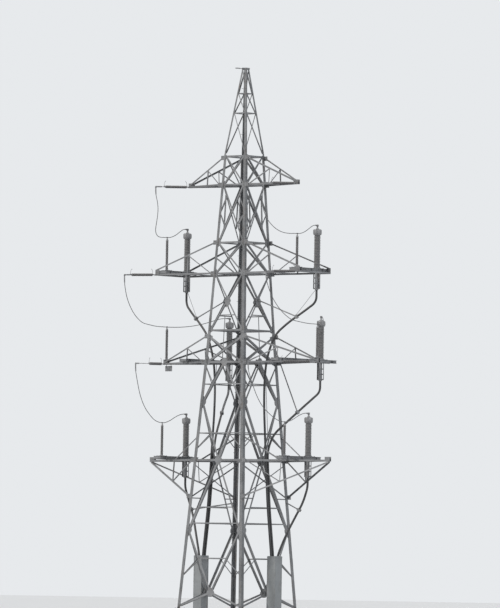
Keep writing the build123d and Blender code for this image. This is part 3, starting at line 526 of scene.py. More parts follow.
# %% Floor, sky and lamps
PALE = (0.80, 0.82, 0.84)
FLOOR_TONE = (0.62, 0.63, 0.64)
SKY_GLOW = (0.93, 0.96, 1.0)
FLOOR_RADIUS = 1500.0


def pale_floor():
    """Round floor that takes the tower's shadow and fades into the sky far off."""
    bm = bmesh.new()
    bmesh.ops.create_circle(bm, cap_ends=True, segments=96, radius=FLOOR_RADIUS)
    floor = add_object("floor", to_mesh(bm, "floor"))
    material, _, shader = new_material("pale_floor", PALE)
    shader.inputs["Base Color"].default_value = (*FLOOR_TONE, 1)
    shader.inputs["Roughness"].default_value = 0.95
    floor.data.materials.append(material)


def background(tree, colour, strength):
    """Plain background of a world."""
    node = tree.nodes.new("ShaderNodeBackground")
    node.inputs["Color"].default_value = (*colour, 1)
    node.inputs["Strength"].default_value = strength
    return node.outputs["Background"]


def pale_sky():
    """World that shows a pale colour, and lights the tower at a plain level."""
    world = bpy.data.worlds.new("sky")
    bpy.context.scene.world = world
    world.use_nodes = True
    tree = world.node_tree
    tree.nodes.clear()
    path = tree.nodes.new("ShaderNodeLightPath")
    seen = math_node(tree, "MAXIMUM", path.outputs["Is Camera Ray"], path.outputs["Is Glossy Ray"])
    mixed = tree.nodes.new("ShaderNodeMixShader")
    tree.links.new(seen, mixed.inputs["Fac"])
    tree.links.new(background(tree, SKY_GLOW, 0.45), mixed.inputs[1])
    tree.links.new(background(tree, PALE, 1.0), mixed.inputs[2])
    end = tree.nodes.new("ShaderNodeOutputWorld")
    tree.links.new(mixed.outputs["Shader"], end.inputs["Surface"])


def sun(name, direction, strength, softness, colour):
    """Sun lamp that shines along a direction."""
    data = bpy.data.lights.new(name, "SUN")
    data.energy = strength
    data.angle = math.radians(softness)
    data.color = colour
    lamp = add_object(name, data)
    lamp.rotation_mode = "QUATERNION"
    lamp.rotation_quaternion = Vector(direction).to_track_quat("-Z", "Y")


pale_floor()
pale_sky()
sun("key_sun", (0.35, 0.9, -0.75), 2.2, 12.0, (1.0, 0.97, 0.93))
sun("fill_sun", (-0.9, 0.1, -0.35), 0.9, 25.0, SKY_GLOW)
sun("back_sun", (0.1, -1.0, -0.6), 0.7, 30.0, (1.0, 0.98, 0.95))
bpy.context.scene.view_settings.view_transform = "Standard"
print("floor, sky and three suns")

# %% [markdown]
# ## The jumpers
#
# A jumper is a short piece of bare conductor. It carries the current from the line clamp at the end
# of a tension string, over the head of the surge arrester, to the terminal of the sealing end. It
# is a heavy aluminium wire that hangs by its own weight. A smooth spline through a few listed
# points gives the line, and the strands are a ridged section swept along it with a slow twist.

# %% Where the strings, arresters and sealing ends hold the jumpers
CONDUCTOR_DIAMETER = 0.036
WIRE_SEAT = CONDUCTOR_DIAMETER / 2 + SEAT_GAP
SEALING_HEIGHT = 2.2
TERMINAL_DROP = 0.04
LUG_REACH = 0.13
ARRESTER_HEIGHT = 1.64
ARRESTER_FOOT = SEAT_GAP + 0.015
TIP_CHEEK = 0.185
STRING_SEAT = 0.0087
STRING_FALL = 0.11
TERMINAL_HANG = 0.09
STRING_ENDS = {1: (3.56, -2.63), 2: (4.685, -3.61), 3: (3.72, -3.74)}
X_2 = 4.31
X_3 = 3.035
X_4 = 4.055
SEALING_2_Y = 0.68
SEALING_3_Y = 2.575
SEALING_4_Y = 0.53
ARRESTER_2_Y = -0.86
ARRESTER_3_X = 4.99
ARRESTER_4_Y = -1.29
FACING = {2: Vector((0, -1, 0)), 3: Vector((0.70, -0.71, 0)).normalized(), 4: Vector((0, -1, 0))}


def string_foot(level_z):
    """Height of the terminal under a line clamp."""
    return level_z - STRING_SEAT - STRING_FALL - TERMINAL_HANG


def arrester_top(seat_z):
    """Height of a wire over the head of an arrester that stands at a height."""
    return seat_z + ARRESTER_FOOT + ARRESTER_HEIGHT + WIRE_SEAT


def terminal_height(level_z):
    """Height of a sealing end's terminal over its arm's level."""
    return level_z + PLATFORM_RISE + SEAT_GAP + SEALING_HEIGHT - TERMINAL_DROP


print("jumpers start at", [round(string_foot(z), 4) for z in (ARM_1_Z, ARM_2_Z, ARM_3_Z)])

# %% Routes of the jumpers on the right
START_1 = string_foot(ARM_1_Z)
START_2 = string_foot(ARM_2_Z)
START_3 = string_foot(ARM_3_Z)
REST_2 = arrester_top(ARM_2_Z + PLATFORM_RISE)
REST_3 = arrester_top(ARM_3_Z + TIP_CHEEK)
REST_4 = arrester_top(ARM_4_Z + PLATFORM_RISE)
END_2 = terminal_height(ARM_2_Z)
END_3 = terminal_height(ARM_3_Z)
END_4 = terminal_height(ARM_4_Z)
LUG_3 = FACING[3] * LUG_REACH

JUMPERS = {
    1: [
        (*STRING_ENDS[1], START_1),
        (*STRING_ENDS[1], START_1 - 0.29),
        (3.47, -2.585, START_1 - 0.66),
        (3.45, -2.545, START_1 - 1.05),
        (3.55, -2.48, START_1 - 1.45),
        (3.73, -2.37, START_1 - 1.83),
        (3.945, -2.175, START_1 - 2.14),
        (4.12, -1.83, REST_2 + 0.02),
        (4.255, -1.4, REST_2 - 0.025),
        (X_2, ARRESTER_2_Y - 0.2, REST_2),
        (X_2, ARRESTER_2_Y + 0.2, REST_2),
        (X_2, -0.25, REST_2 + 0.13),
        (X_2, 0.12, REST_2 + 0.35),
        (X_2, 0.375, END_2),
        (X_2, SEALING_2_Y - LUG_REACH, END_2),
    ],
    2: [
        (*STRING_ENDS[2], START_2),
        (*STRING_ENDS[2], START_2 - 0.28),
        (4.72, -3.49, START_2 - 0.65),
        (4.765, -3.32, START_2 - 1.03),
        (4.805, -3.07, START_2 - 1.4),
        (4.855, -2.75, START_2 - 1.74),
        (4.9, -2.36, START_2 - 2.03),
        (4.945, -1.92, START_2 - 2.25),
        (4.99, -1.445, REST_3 + 0.075),
        (5.01, -0.97, REST_3 + 0.02),
        (5.025, -0.605, REST_3 + 0.002),
        (ARRESTER_3_X + 0.02, -0.215, REST_3),
        (ARRESTER_3_X - 0.02, 0.215, REST_3),
        (4.855, 0.645, REST_3 + 0.012),
        (4.63, 1.025, REST_3 + 0.045),
        (4.345, 1.335, REST_3 + 0.105),
        (4.05, 1.615, REST_3 + 0.195),
        (3.75, 1.885, REST_3 + 0.31),
        (3.525, 2.115, REST_3 + 0.43),
        (X_3 + LUG_3.x * 2.9, SEALING_3_Y + LUG_3.y * 2.9, END_3),
        (X_3 + LUG_3.x, SEALING_3_Y + LUG_3.y, END_3),
    ],
    3: [
        (*STRING_ENDS[3], START_3),
        (*STRING_ENDS[3], START_3 - 0.28),
        (3.75, -3.6, START_3 - 0.65),
        (3.785, -3.45, START_3 - 1.04),
        (3.825, -3.265, START_3 - 1.44),
        (3.86, -3.03, START_3 - 1.83),
        (3.905, -2.715, START_3 - 2.18),
        (3.965, -2.33, START_3 - 2.46),
        (4.02, -1.93, REST_4 + 0.11),
        (X_4, ARRESTER_4_Y - 0.2, REST_4),
        (X_4, ARRESTER_4_Y + 0.2, REST_4),
        (X_4, -0.69, REST_4 + 0.13),
        (X_4, -0.335, REST_4 + 0.31),
        (X_4, 0.01, REST_4 + 0.44),
        (X_4, 0.26, END_4),
        (X_4, SEALING_4_Y - LUG_REACH, END_4),
    ],
}
print("route points", [len(route) for route in JUMPERS.values()])

# %% Strands along a spline
STRAND_COUNT = 14
STRAND_RIDGE = (1.0, 0.965, 0.885, 0.965)
LAY_LENGTH = 0.42


def strand_profile():
    """Ridged round section of a stranded wire, as a hidden curve."""
    data = bpy.data.curves.new("strand_profile", "CURVE")
    data.dimensions = "2D"
    spline = data.splines.new("POLY")
    count = STRAND_COUNT * len(STRAND_RIDGE)
    spline.points.add(count - 1)
    for i, point in enumerate(spline.points):
        angle = 2 * math.pi * i / count
        radius = CONDUCTOR_DIAMETER / 2 * STRAND_RIDGE[i % len(STRAND_RIDGE)]
        point.co = (radius * math.cos(angle), radius * math.sin(angle), 0, 1)
    spline.use_cyclic_u = True
    profile = add_object("strand_profile", data)
    profile.hide_render = True
    profile.hide_viewport = True
    return profile


def wire(name, points, profile):
    """Stranded wire along a smooth spline, twisted once in each lay length."""
    data = bpy.data.curves.new(name, "CURVE")
    data.dimensions = "3D"
    data.twist_mode = "MINIMUM"
    data.bevel_mode = "OBJECT"
    data.bevel_object = profile
    data.use_fill_caps = True
    data.resolution_u = 14
    spline = data.splines.new("NURBS")
    spline.points.add(len(points) - 1)
    travelled = 0.0
    for i, place in enumerate(points):
        if i:
            travelled += (Vector(place) - Vector(points[i - 1])).length
        spline.points[i].co = (*place, 1)
        spline.points[i].tilt = 2 * math.pi * travelled / LAY_LENGTH
    spline.order_u = 3
    spline.use_endpoint_u = True
    data.materials.append(CONDUCTOR)
    return add_object(name, data)


print("a wire has", STRAND_COUNT, "strands")

# %% Jumpers on both sides
PROFILE = strand_profile()
for number, route in JUMPERS.items():
    for side_name, sign in (("right", 1), ("left", -1)):
        points = [(sign * x, y, z) for x, y, z in route]
        node = f"jumper_{number}_{side_name}"
        curve = wire(node + "_wire", points, PROFILE)
        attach(curve, "root")
        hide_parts(node)

# %% [markdown]
# ## Ways of making small shapes
#
# Nearly all that is added is turned, cut square, or rolled as an angle bar. A turned shape is an
# outline spun about its axis, a plate or a bar is an outline drawn out along its length, and a bolt
# is made once and stamped wherever a joint needs it. Each maker adds to one mesh, so that a whole
# family of parts stays one piece.

# %% Turned, square and round shapes
def add(part, target, matrix=None):
    """Moves a small shape into a larger one. The small one is used up."""
    if matrix is not None:
        part.transform(matrix)
    mesh = to_mesh(part, "part")
    target.from_mesh(mesh)
    bpy.data.meshes.remove(mesh)


def facing(point, direction):
    """Matrix that stands a shape on a point, with its vertical turned to a direction."""
    return Matrix.Translation(point) @ direction.to_track_quat("Z", "Y").to_matrix().to_4x4()


def turned(target, outline, steps, matrix):
    """Adds a shape spun about its vertical from (radius, height) points."""
    part = bmesh.new()
    verts = [part.verts.new((radius, 0, z)) for radius, z in outline]
    edges = [part.edges.new(pair) for pair in zip(verts, verts[1:])]
    bmesh.ops.spin(
        part,
        geom=verts + edges,
        cent=(0, 0, 0),
        axis=(0, 0, 1),
        angle=2 * math.pi,
        steps=steps,
        use_merge=True,
    )
    bmesh.ops.remove_doubles(part, verts=part.verts, dist=1e-6)
    add(part, target, matrix)


def slab(target, low, high, bevel=0.0, matrix=None):
    """Adds a box between two corners, with its edges bevelled where asked."""
    part = bmesh.new()
    bmesh.ops.create_cube(part, size=1.0)
    bmesh.ops.scale(part, verts=part.verts, vec=[b - a for a, b in zip(low, high)])
    bmesh.ops.translate(part, verts=part.verts, vec=[(a + b) / 2 for a, b in zip(low, high)])
    if bevel:
        bmesh.ops.bevel(part, geom=part.edges[:], offset=bevel, segments=1, affect="EDGES")
    add(part, target, matrix)


def rod(target, start, end, radius, segments=12, end_radius=None):
    """Adds a round bar between two points, tapered where an end radius is given."""
    part = bmesh.new()
    length = (end - start).length
    last = radius if end_radius is None else end_radius
    bmesh.ops.create_cone(
        part, cap_ends=True, segments=segments, radius1=radius, radius2=last, depth=length
    )
    bmesh.ops.translate(part, verts=part.verts, vec=(0, 0, length / 2))
    add(part, target, facing(start, end - start))


print("turned shapes, slabs and rods ready")


# %% Bent rods, plates and angle bars
def bent_rod(target, points, radius, segments=8):
    """Adds a round rod that follows points: one extrusion for each run, turned to the next."""
    part = bmesh.new()
    heading = points[1] - points[0]
    foot = facing(points[0], heading)
    bmesh.ops.create_circle(part, cap_ends=True, segments=segments, radius=radius, matrix=foot)
    end_face = part.faces[:][0]
    for i in range(1, len(points)):
        made = bmesh.ops.extrude_face_region(part, geom=[end_face])
        end_face = [item for item in made["geom"] if isinstance(item, bmesh.types.BMFace)][0]
        bmesh.ops.translate(part, verts=end_face.verts, vec=points[i] - points[i - 1])
        ahead = points[min(i + 1, len(points) - 1)] - points[i - 1]
        swing = heading.rotation_difference(ahead).to_matrix()
        bmesh.ops.rotate(part, verts=end_face.verts, cent=points[i], matrix=swing)
        heading = ahead
    add(part, target)


def drawn_out(target, outline, along):
    """Adds an outline drawn out along a vector: a plate, or a bar of any section."""
    part = bmesh.new()
    face = part.faces.new([part.verts.new(point) for point in outline])
    made = bmesh.ops.extrude_face_region(part, geom=[face])
    moved = [item for item in made["geom"] if isinstance(item, bmesh.types.BMVert)]
    bmesh.ops.translate(part, verts=moved, vec=along)
    add(part, target)


def angle_bar(target, start, end, outward, width, thick, shelf=-UP):
    """Adds an angle bar: one flange flat to outward, the other inwards from the edge shelf points to."""
    along = (end - start).normalized()
    across = outward.cross(along).normalized()
    out = along.cross(across).normalized()
    if out.dot(outward) < 0:
        out = -out
    if across.dot(shelf) < 0:
        across = -across
    edge = width / 2
    inner = edge - thick
    section = ((-edge, 0), (edge, 0), (edge, -width), (inner, -width), (inner, -thick), (-edge, -thick))
    drawn_out(target, [start + across * a + out * b for a, b in section], end - start)


def arc(middle, height, radius, start, end, count):
    """Points of an arc in a plane, such as (radius, height), by its angles in degrees."""
    angles = [math.radians(start + (end - start) * i / count) for i in range(count + 1)]
    return [(middle + radius * math.cos(a), height + radius * math.sin(a)) for a in angles]


def ring(count, radius, height, turn=0):
    """Points evenly spaced round the vertical, the first of them turned by some degrees."""
    around = arc(0, 0, radius, turn, turn + 360, count)[:-1]
    return [Vector((x, y, height)) for x, y in around]


print("a ring of four", [tuple(round(c, 2) for c in point) for point in ring(4, 1, 0)])

# %% Bolts
BOLT_HEAD = (
    (12, 0.0, 0.2, 1.1, 1.1),
    (6, 0.2, 0.75, 0.95, 0.95),
    (6, 0.75, 0.9, 0.95, 0.72),
)


def bolt_mesh(size):
    """Washer, six-sided head and its chamfer, with the foot at the origin."""
    bm = bmesh.new()
    for segments, low, high, radius, top in BOLT_HEAD:
        rod(bm, UP * size * low, UP * size * high, size * radius, segments, size * top)
    return to_mesh(bm, "bolt")


def stamp(target, mesh, matrices):
    """Adds a copy of a mesh for each matrix."""
    for matrix in matrices:
        copy = mesh.copy()
        copy.transform(matrix)
        target.from_mesh(copy)
        bpy.data.meshes.remove(copy)


def small_bolts(target, spots, direction):
    """Adds a small bolt at each spot, with its head towards a direction."""
    stamp(target, SMALL_BOLT, [facing(spot, direction) for spot in spots])


BOLT = bolt_mesh(0.022)
SMALL_BOLT = bolt_mesh(0.014)
print("one bolt has", len(BOLT.polygons), "faces")

# %% The piece that a mesh becomes
SHARP_ANGLE = math.radians(30)


def new_piece(name, material, makers):
    """Makes an object of all that its makers add, smooth but for its sharp edges."""
    bm = bmesh.new()
    for make in makers:
        make(bm)
    bmesh.ops.recalc_face_normals(bm, faces=bm.faces)
    mesh = to_mesh(bm, name)
    mesh.shade_smooth()
    mesh.set_sharp_from_angle(angle=SHARP_ANGLE)
    mesh.materials.append(material)
    piece = add_object(name, mesh)
    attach(piece, "root")
    print(name, len(mesh.polygons), "faces")
    return piece


def mirrored(bm):
    """Mirrors a whole mesh to the other side of the tower."""
    bmesh.ops.scale(bm, verts=bm.verts, vec=(-1, 1, 1))


def on_both_sides(name, material, make, node=None):
    """Makes a piece on the right and its mirror image on the left, in place of a ready piece if named."""
    for side_name, makers in (("right", [make]), ("left", [make, mirrored])):
        piece = new_piece(name + "_" + side_name, material, makers)
        if node:
            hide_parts(node + "_" + side_name)


def in_place_of(kind, numbers, parts):
    """Makes the parts of each numbered ready piece, on both sides of the tower, in its place."""
    for number in numbers:
        node = f"{kind}_{number}"
        for part, material, make in parts:
            on_both_sides(f"{node}_{part}", material, lambda bm: make(bm, number), node)


def foot_of(node, height):
    """Middle of the foot of a right-hand ready piece of a known height."""
    low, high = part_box(node + "_right")
    return Vector(((low.x + high.x) / 2, (low.y + high.y) / 2, high.z - height))


print("piece makers ready")

# %% [markdown]
# ## Cable sealing ends
#
# A sealing end lets a thick insulated cable come out into the open air. It is a hollow column of
# glass fibre, clad in silicone rubber that is moulded into thin sheds. The sheds make the path over
# the wet surface long. They go by turns wide and narrow, so that rain doesn't bridge them. A cast
# head with rounded shoulders, which keep the electric field smooth, closes the top. A terminal
# stands on it. Below the base plate hang the cable's pipe and a small ladder frame that steadies it.
#
# The column could be a smooth cylinder with bump for the sheds, but they show against the sky. So
# each outline is drawn shed by shed, lips hanging lower than roots, and spun.

# %% Shed columns
SEALING_CORE = 0.14
SHED_PITCH = 0.067
# numbers of the levels that carry sealing ends and arresters
SEALING_ENDS = (2, 3, 4)


def sheds(core, wide, narrow, low, high, pitch):
    """Outline of a core with hanging sheds, by turns wide and narrow."""
    count = round((high - low) / pitch)
    pitch = (high - low) / count
    points = []
    for i in range(count):
        reach = (wide, narrow)[i % 2]
        shed = ((core, 0.26), (reach - 0.006, 0.08), (reach, 0.1), (reach, 0.18), (core, 0.66))
        points += [(radius, low + (i + share) * pitch) for radius, share in shed]
    return points


def sealing_place(number):
    """Middle of the foot of a right sealing end."""
    return foot_of(f"sealing_end_{number}", SEALING_HEIGHT)


def sealing_column(bm, number):
    """Rubber column of a sealing end."""
    outline = [(0, 0.08), (SEALING_CORE, 0.08)]
    outline += sheds(SEALING_CORE, 0.172, 0.16, 0.085, 1.66, SHED_PITCH)
    outline += [(SEALING_CORE, 1.69), (0, 1.69)]
    turned(bm, outline, 44, Matrix.Translation(sealing_place(number)))


in_place_of("sealing_end", SEALING_ENDS, [("sheds", RUBBER, sealing_column)])

# %% [markdown]
# The head, the terminal and the lug that takes the jumper are cast aluminium. The lug is a sleeve
# that is pressed onto the wire, with the marks of the press, on a pad held by two bolts.

# %% Heads and terminals
def sealing_head(bm, place):
    """Head of a sealing end with the stem of its terminal."""
    at = Matrix.Translation(place)
    outline = [(0, 1.672), (0.182, 1.672), (0.19, 1.68), (0.19, 1.7)]
    outline += arc(0.155, 1.76, 0.06, -50, 0, 4)
    outline += arc(0.155, 1.9, 0.06, 0, 90, 7)
    outline += [(0.09, 1.966), (0.085, 1.975), (0.085, 1.992), (0, 1.992)]
    turned(bm, outline, 44, at)
    stem = [(0, 1.99), (0.052, 1.99), (0.048, 2.01), (0.042, 2.03), (0.042, 2.095), (0.056, 2.105)]
    stem += [(0.06, 2.115), (0.06, 2.185), (0.05, SEALING_HEIGHT), (0, SEALING_HEIGHT)]
    turned(bm, stem, 24, at)
    small_bolts(bm, [place + spot for spot in ring(6, 0.068, 1.992, 30)], UP)
    for spot in ring(12, 0.187, 1.7):
        small_bolts(bm, [place + spot], Vector((spot.x, spot.y, 0)))


def terminal_lug(bm, place, out):
    """Pad on the terminal, and the pressed sleeve that leads out to the jumper."""
    side = out.cross(UP)
    start = place + UP * (SEALING_HEIGHT - TERMINAL_DROP)
    corners = ((-0.036, -0.034), (0.036, -0.034), (0.036, 0.034), (-0.036, 0.034))
    drawn_out(bm, [start + out * 0.03 + side * a + UP * b for a, b in corners], out * 0.052)
    rod(bm, start + out * 0.07, start + out * 0.165, 0.029, 16)
    for reach in (0.088, 0.112, 0.136):
        rod(bm, start + out * reach, start + out * (reach + 0.011), 0.0315, 6)
    small_bolts(bm, [start + out * 0.056 + side * 0.036 + UP * b for b in (-0.015, 0.015)], side)


def sealing_metal(bm, number):
    """All of the cast metal on top of a sealing end."""
    sealing_head(bm, sealing_place(number))
    terminal_lug(bm, sealing_place(number), FACING[number])


in_place_of("sealing_end", SEALING_ENDS, [("head", ALUMINIUM, sealing_metal)])

# %% [markdown]
# Below, the column stands on a bolted flange. The base plate lies on the two channels of the
# platform. The pipe under it guards the bend of the cable, and straps hold it to the ladder frame.

# %% Feet, pipes and ladder frames
FRAME_HALF = 0.205
PIPE_FOOT = -1.05
FRAME_FOOT = PIPE_FOOT + 0.04
FRAME_FACE = 0.03
RUNG_DROPS = (0.43, 0.69, 0.95)


def foot_flange(bm, place):
    """Base plate, stepped flange and their bolts."""
    at = Matrix.Translation(place)
    slab(bm, (-0.27, -0.23, 0), (0.27, 0.23, 0.02), 0.003, at)
    outline = [(0, 0.019), (0.19, 0.019), (0.193, 0.024), (0.193, 0.042), (0.188, 0.046), (0.158, 0.048)]
    outline += [(0.15, 0.056), (0.148, 0.08), (0, 0.08)]
    turned(bm, outline, 40, at)
    spots = ring(10, 0.173, 0.046) + [Vector((sx * 0.243, sy * 0.2, 0.02)) for sx, sy in CORNERS]
    small_bolts(bm, [place + spot for spot in spots], UP)


def frame_uprights(bm, place):
    """Two angle bars, their one flange square to the pipe and the other one along the rungs."""
    at = Matrix.Translation(place)
    for way in (-1, 1):
        edge = way * FRAME_HALF
        low_x, high_x = sorted((edge, edge - way * 0.006))
        slab(bm, (low_x, -FRAME_FACE, FRAME_FOOT), (high_x, FRAME_FACE, 0.0), 0.0015, at)
        low_x, high_x = sorted((edge, edge - way * 0.03))
        slab(bm, (low_x, FRAME_FACE - 0.006, FRAME_FOOT), (high_x, FRAME_FACE, 0.0), 0.0015, at)


def frame_rungs(bm, place):
    """Flat rungs between the uprights, and a strap round the pipe at each rung."""
    reach = FRAME_HALF - 0.003
    for drop in RUNG_DROPS:
        at = Matrix.Translation(place - UP * (drop + 0.06))
        slab(bm, (-reach, 0.0, 0), (reach, 0.0237, 0.06), 0.002, at)
        middle = place - UP * (drop + 0.03)
        strap = [middle + Vector((x, y, 0)) for x, y in arc(0, 0, 0.092, 0, -180, 10)]
        tails = [end + Vector((0, 0.04, 0)) for end in (strap[0], strap[-1])]
        bent_rod(bm, [tails[0]] + strap + [tails[1]], 0.007)
        small_bolts(bm, [tail - Vector((0, 0.016, 0)) for tail in tails], Vector((0, 1, 0)))


def pipe(bm, place):
    """Pipe with a rolled lip at its foot and a flange under the plate."""
    outline = [(0, 0.0), (0.12, 0.0), (0.12, -0.016), (0.085, -0.02), (0.085, PIPE_FOOT + 0.05)]
    outline += [(0.092, PIPE_FOOT + 0.045), (0.092, PIPE_FOOT + 0.01), (0.086, PIPE_FOOT)]
    outline += [(0.07, PIPE_FOOT), (0, PIPE_FOOT)]
    turned(bm, outline, 28, Matrix.Translation(place))


def sealing_foot(bm, number):
    """All of the steel under a sealing end."""
    for make in (foot_flange, frame_uprights, frame_rungs, pipe):
        make(bm, sealing_place(number))


in_place_of("sealing_end", SEALING_ENDS, [("foot", STEEL, sealing_foot)])

# %% [markdown]
# One half of each ladder frame is closed by a thin sheet. In the silhouette of the second level the
# open half is on the same hand on both sides of the tower, so these sheets aren't mirrored as the
# rest is. Lower down it shows on the right only, and the left is taken to be alike.

# %% Sheets on the ladder frames
COVERED_HAND = {2: 1, 3: -1, 4: -1}


def frame_covers(bm):
    """A sheet from the pipe to one upright of each ladder frame."""
    for number, hand in COVERED_HAND.items():
        place = sealing_place(number)
        low_x, high_x = sorted((hand * 0.08, hand * (FRAME_HALF - 0.004)))
        for tower_side in (-1, 1):
            at = Matrix.Translation(Vector((tower_side * place.x, place.y, place.z)))
            slab(bm, (low_x, 0.0243, FRAME_FOOT + 0.005), (high_x, 0.0273, -0.03), 0.0, at)


new_piece("frame_covers", STEEL, [frame_covers])

# %% [markdown]
# ## Surge arresters
#
# When lightning strikes the line, an arrester beside each sealing end lets the surge go to earth
# before it reaches the cable. It is a slim stack of zinc oxide blocks in the same shedded rubber.
# The wire only passes over its head, so a small clamp holds it there. Its foot stands on a plate
# with a cast base.

# %% Arresters
ARRESTER_CORE = 0.055
ARRESTER_PLATE = 0.02
# angles of the bolts in the cast base
BASE_BOLTS = (0.785, 2.356, 3.927, 5.498)


def arrester_place(number):
    """Middle of the foot of a right arrester, on its plate."""
    return foot_of(f"arrester_{number}", ARRESTER_HEIGHT)


def arrester_column(bm, number):
    """Rubber column of an arrester."""
    outline = [(0, 0.085), (ARRESTER_CORE, 0.085)]
    outline += sheds(ARRESTER_CORE, 0.08, 0.07, 0.1, 1.475, 0.048)
    outline += [(ARRESTER_CORE, 1.49), (0, 1.49)]
    turned(bm, outline, 28, Matrix.Translation(arrester_place(number)))


def arrester_metal(bm, number):
    """Cast base, head and the clamp over the wire."""
    place = arrester_place(number)
    at = Matrix.Translation(place)
    base = [(0, 0.004), (0.088, 0.004), (0.088, 0.02), (0.066, 0.03)]
    base += [(0.062, 0.085), (0.066, 0.1), (0, 0.1)]
    turned(bm, base, 28, at)
    head = [(0, 1.476), (0.064, 1.476), (0.068, 1.482), (0.068, 1.505), (0.06, 1.52), (0.042, 1.575)]
    head += [(0.026, 1.588), (0.022, 1.6), (0.022, 1.63), (0.038, 1.632)]
    head += [(0.038, ARRESTER_HEIGHT), (0, ARRESTER_HEIGHT)]
    turned(bm, head, 24, at)
    slab(bm, (-0.034, -0.03, 1.668), (0.034, 0.03, 1.682), 0.003, at)
    for x in (-0.028, 0.028):
        rod(bm, place + Vector((x, 0, 1.632)), place + Vector((x, 0, 1.69)), 0.005, 8)
        small_bolts(bm, [place + Vector((x, 0, 1.682))], UP)
    spots = [Vector((0.075 * math.cos(a), 0.075 * math.sin(a), 0.02)) for a in BASE_BOLTS]
    small_bolts(bm, [place + spot for spot in spots], UP)


def arrester_plate(bm, number):
    """Plate under an arrester, with the bolts that hold it down."""
    low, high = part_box(f"arrester_{number}_right")
    top_z = low.z + ARRESTER_PLATE
    slab(bm, low, (high.x, high.y, top_z), 0.003)
    for x in (low.x + 0.03, high.x - 0.03):
        small_bolts(bm, [Vector((x, y, top_z)) for y in (low.y + 0.03, high.y - 0.03)], UP)


ARRESTER_PARTS = [
    ("sheds", DARK_RUBBER, arrester_column),
    ("metal", ALUMINIUM, arrester_metal),
    ("plate", STEEL, arrester_plate),
]
in_place_of("arrester", SEALING_ENDS, ARRESTER_PARTS)

# %% [markdown]
# ## Tension strings
#
# Each line wire pulls on its arm through a string: a shackle, a rod insulator with sheds, and a
# long clamp that is pressed onto the wire. A bent horn at each end of the insulator draws a
# flashover away from the rubber. The line wires themselves aren't part of the tower, so each clamp
# ends bare. From its side hangs the terminal that the jumper starts from.

# %% Where the strings run
# where a string starts at its arm, the arm's level, and the length of the link to the insulator
STRINGS = {
    1: (3.54, -0.137, ARM_1_Z, 0.195),
    2: (4.72, -1.254, ARM_2_Z, 0.235),
    3: (5.05, -0.137, ARM_3_Z, 0.35),
}
STRING_CORE = 0.026
INSULATOR_LENGTH = 1.64
CLAMP_LENGTH = 0.46
SLEEVE_RADIUS = 0.031


def string_line(number):
    """Start of a string at its arm, its end at the jumper, and the length of the link between."""
    x, y, level_z, link = STRINGS[number]
    start = Vector((x, y, level_z - STRING_SEAT))
    return start, Vector((*STRING_ENDS[number], start.z - STRING_FALL)), link


def string_sheds(bm, number):
    """Rubber of one string."""
    start, end, low = string_line(number)
    high = low + INSULATOR_LENGTH
    outline = [(0, low + 0.02), (STRING_CORE, low + 0.02)]
    outline += sheds(STRING_CORE, 0.072, 0.056, low + 0.04, high - 0.04, 0.052)
    outline += [(STRING_CORE, high - 0.02), (0, high - 0.02)]
    turned(bm, outline, 24, facing(start, end - start))


print("string lengths", [round((string_line(n)[1] - string_line(n)[0]).length, 3) for n in STRINGS])

# %% Horns and shackles
HORN = ((0.02, 0.0), (0.09, -0.01), (0.17, 0.0), (0.24, 0.035), (0.285, 0.085))


def horn(bm, foot, along, lean):
    """Arcing horn: a rod that rises from an end fitting and leans over the sheds, with a ball tip."""
    points = [foot + UP * rise + along * (reach * lean) for rise, reach in HORN]
    bent_rod(bm, points, 0.009)
    ball = bmesh.new()
    bmesh.ops.create_icosphere(ball, subdivisions=2, radius=0.018)
    add(ball, bm, Matrix.Translation(points[-1]))
    slab(bm, (-0.035, -0.035, -0.012), (0.035, 0.035, 0.012), 0.003, facing(foot + UP * 0.02, along))


def shackle(bm, start, along, link):
    """Bow shackle on the lug, an eye and a link up to the insulator."""
    side = along.cross(UP).normalized()
    bow = [start + side * a + along * b for a, b in arc(0, 0.015, 0.03, 0, 180, 8)]
    bow = [bow[0] - along * 0.03] + bow + [bow[-1] - along * 0.03]
    bent_rod(bm, bow, 0.009, 10)
    rod(bm, start - UP * 0.045, start + UP * 0.045, 0.013, 12)
    for way in (UP, -UP):
        small_bolts(bm, [start + way * 0.03], way)
    rod(bm, start + along * 0.045, start + along * (link - 0.055), 0.017, 12)
    for at in (0.06, link - 0.07):
        rod(bm, start + along * (at - 0.02), start + along * (at + 0.02), 0.026, 14)


print("horns rise", HORN[-1][0])


# %% Fittings, line clamps and jumper sleeves
# radius, and distance out past the end of the insulator
END_FITTING = (
    (0, 0.06),
    (0.024, 0.06),
    (0.032, 0.045),
    (0.032, -0.01),
    (0.04, -0.02),
    (0.04, -0.035),
    (0, -0.035),
)


def end_fitting(end_at, way):
    """Outline of the fitting at an end of the insulator. It runs out past the end, along way."""
    return [(radius, end_at + way * out) for radius, out in END_FITTING[::-way]]


def wire_start(number, t):
    """A point in the first bend of a jumper: half a turn of its spline, from the clamp down."""
    first, second, third = [Vector(p) for p in JUMPERS[number][:3]]
    last = (second + third) / 2
    return first * (1 - t) ** 2 + second * (2 * t * (1 - t)) + last * t * t


def jumper_sleeve(bm, number):
    """Pressed sleeve that follows the jumper out of its terminal, tapered at the end."""
    sleeve = [wire_start(number, i / 16) for i in range(10)]
    bent_rod(bm, sleeve, SLEEVE_RADIUS, 14)
    rod(bm, sleeve[-1], wire_start(number, 0.62), SLEEVE_RADIUS, 14, 0.021)
    for i in (1, 2, 3, 5, 6):
        rod(bm, sleeve[i], sleeve[i] + (sleeve[i + 1] - sleeve[i]) * 0.35, 0.0335, 6)


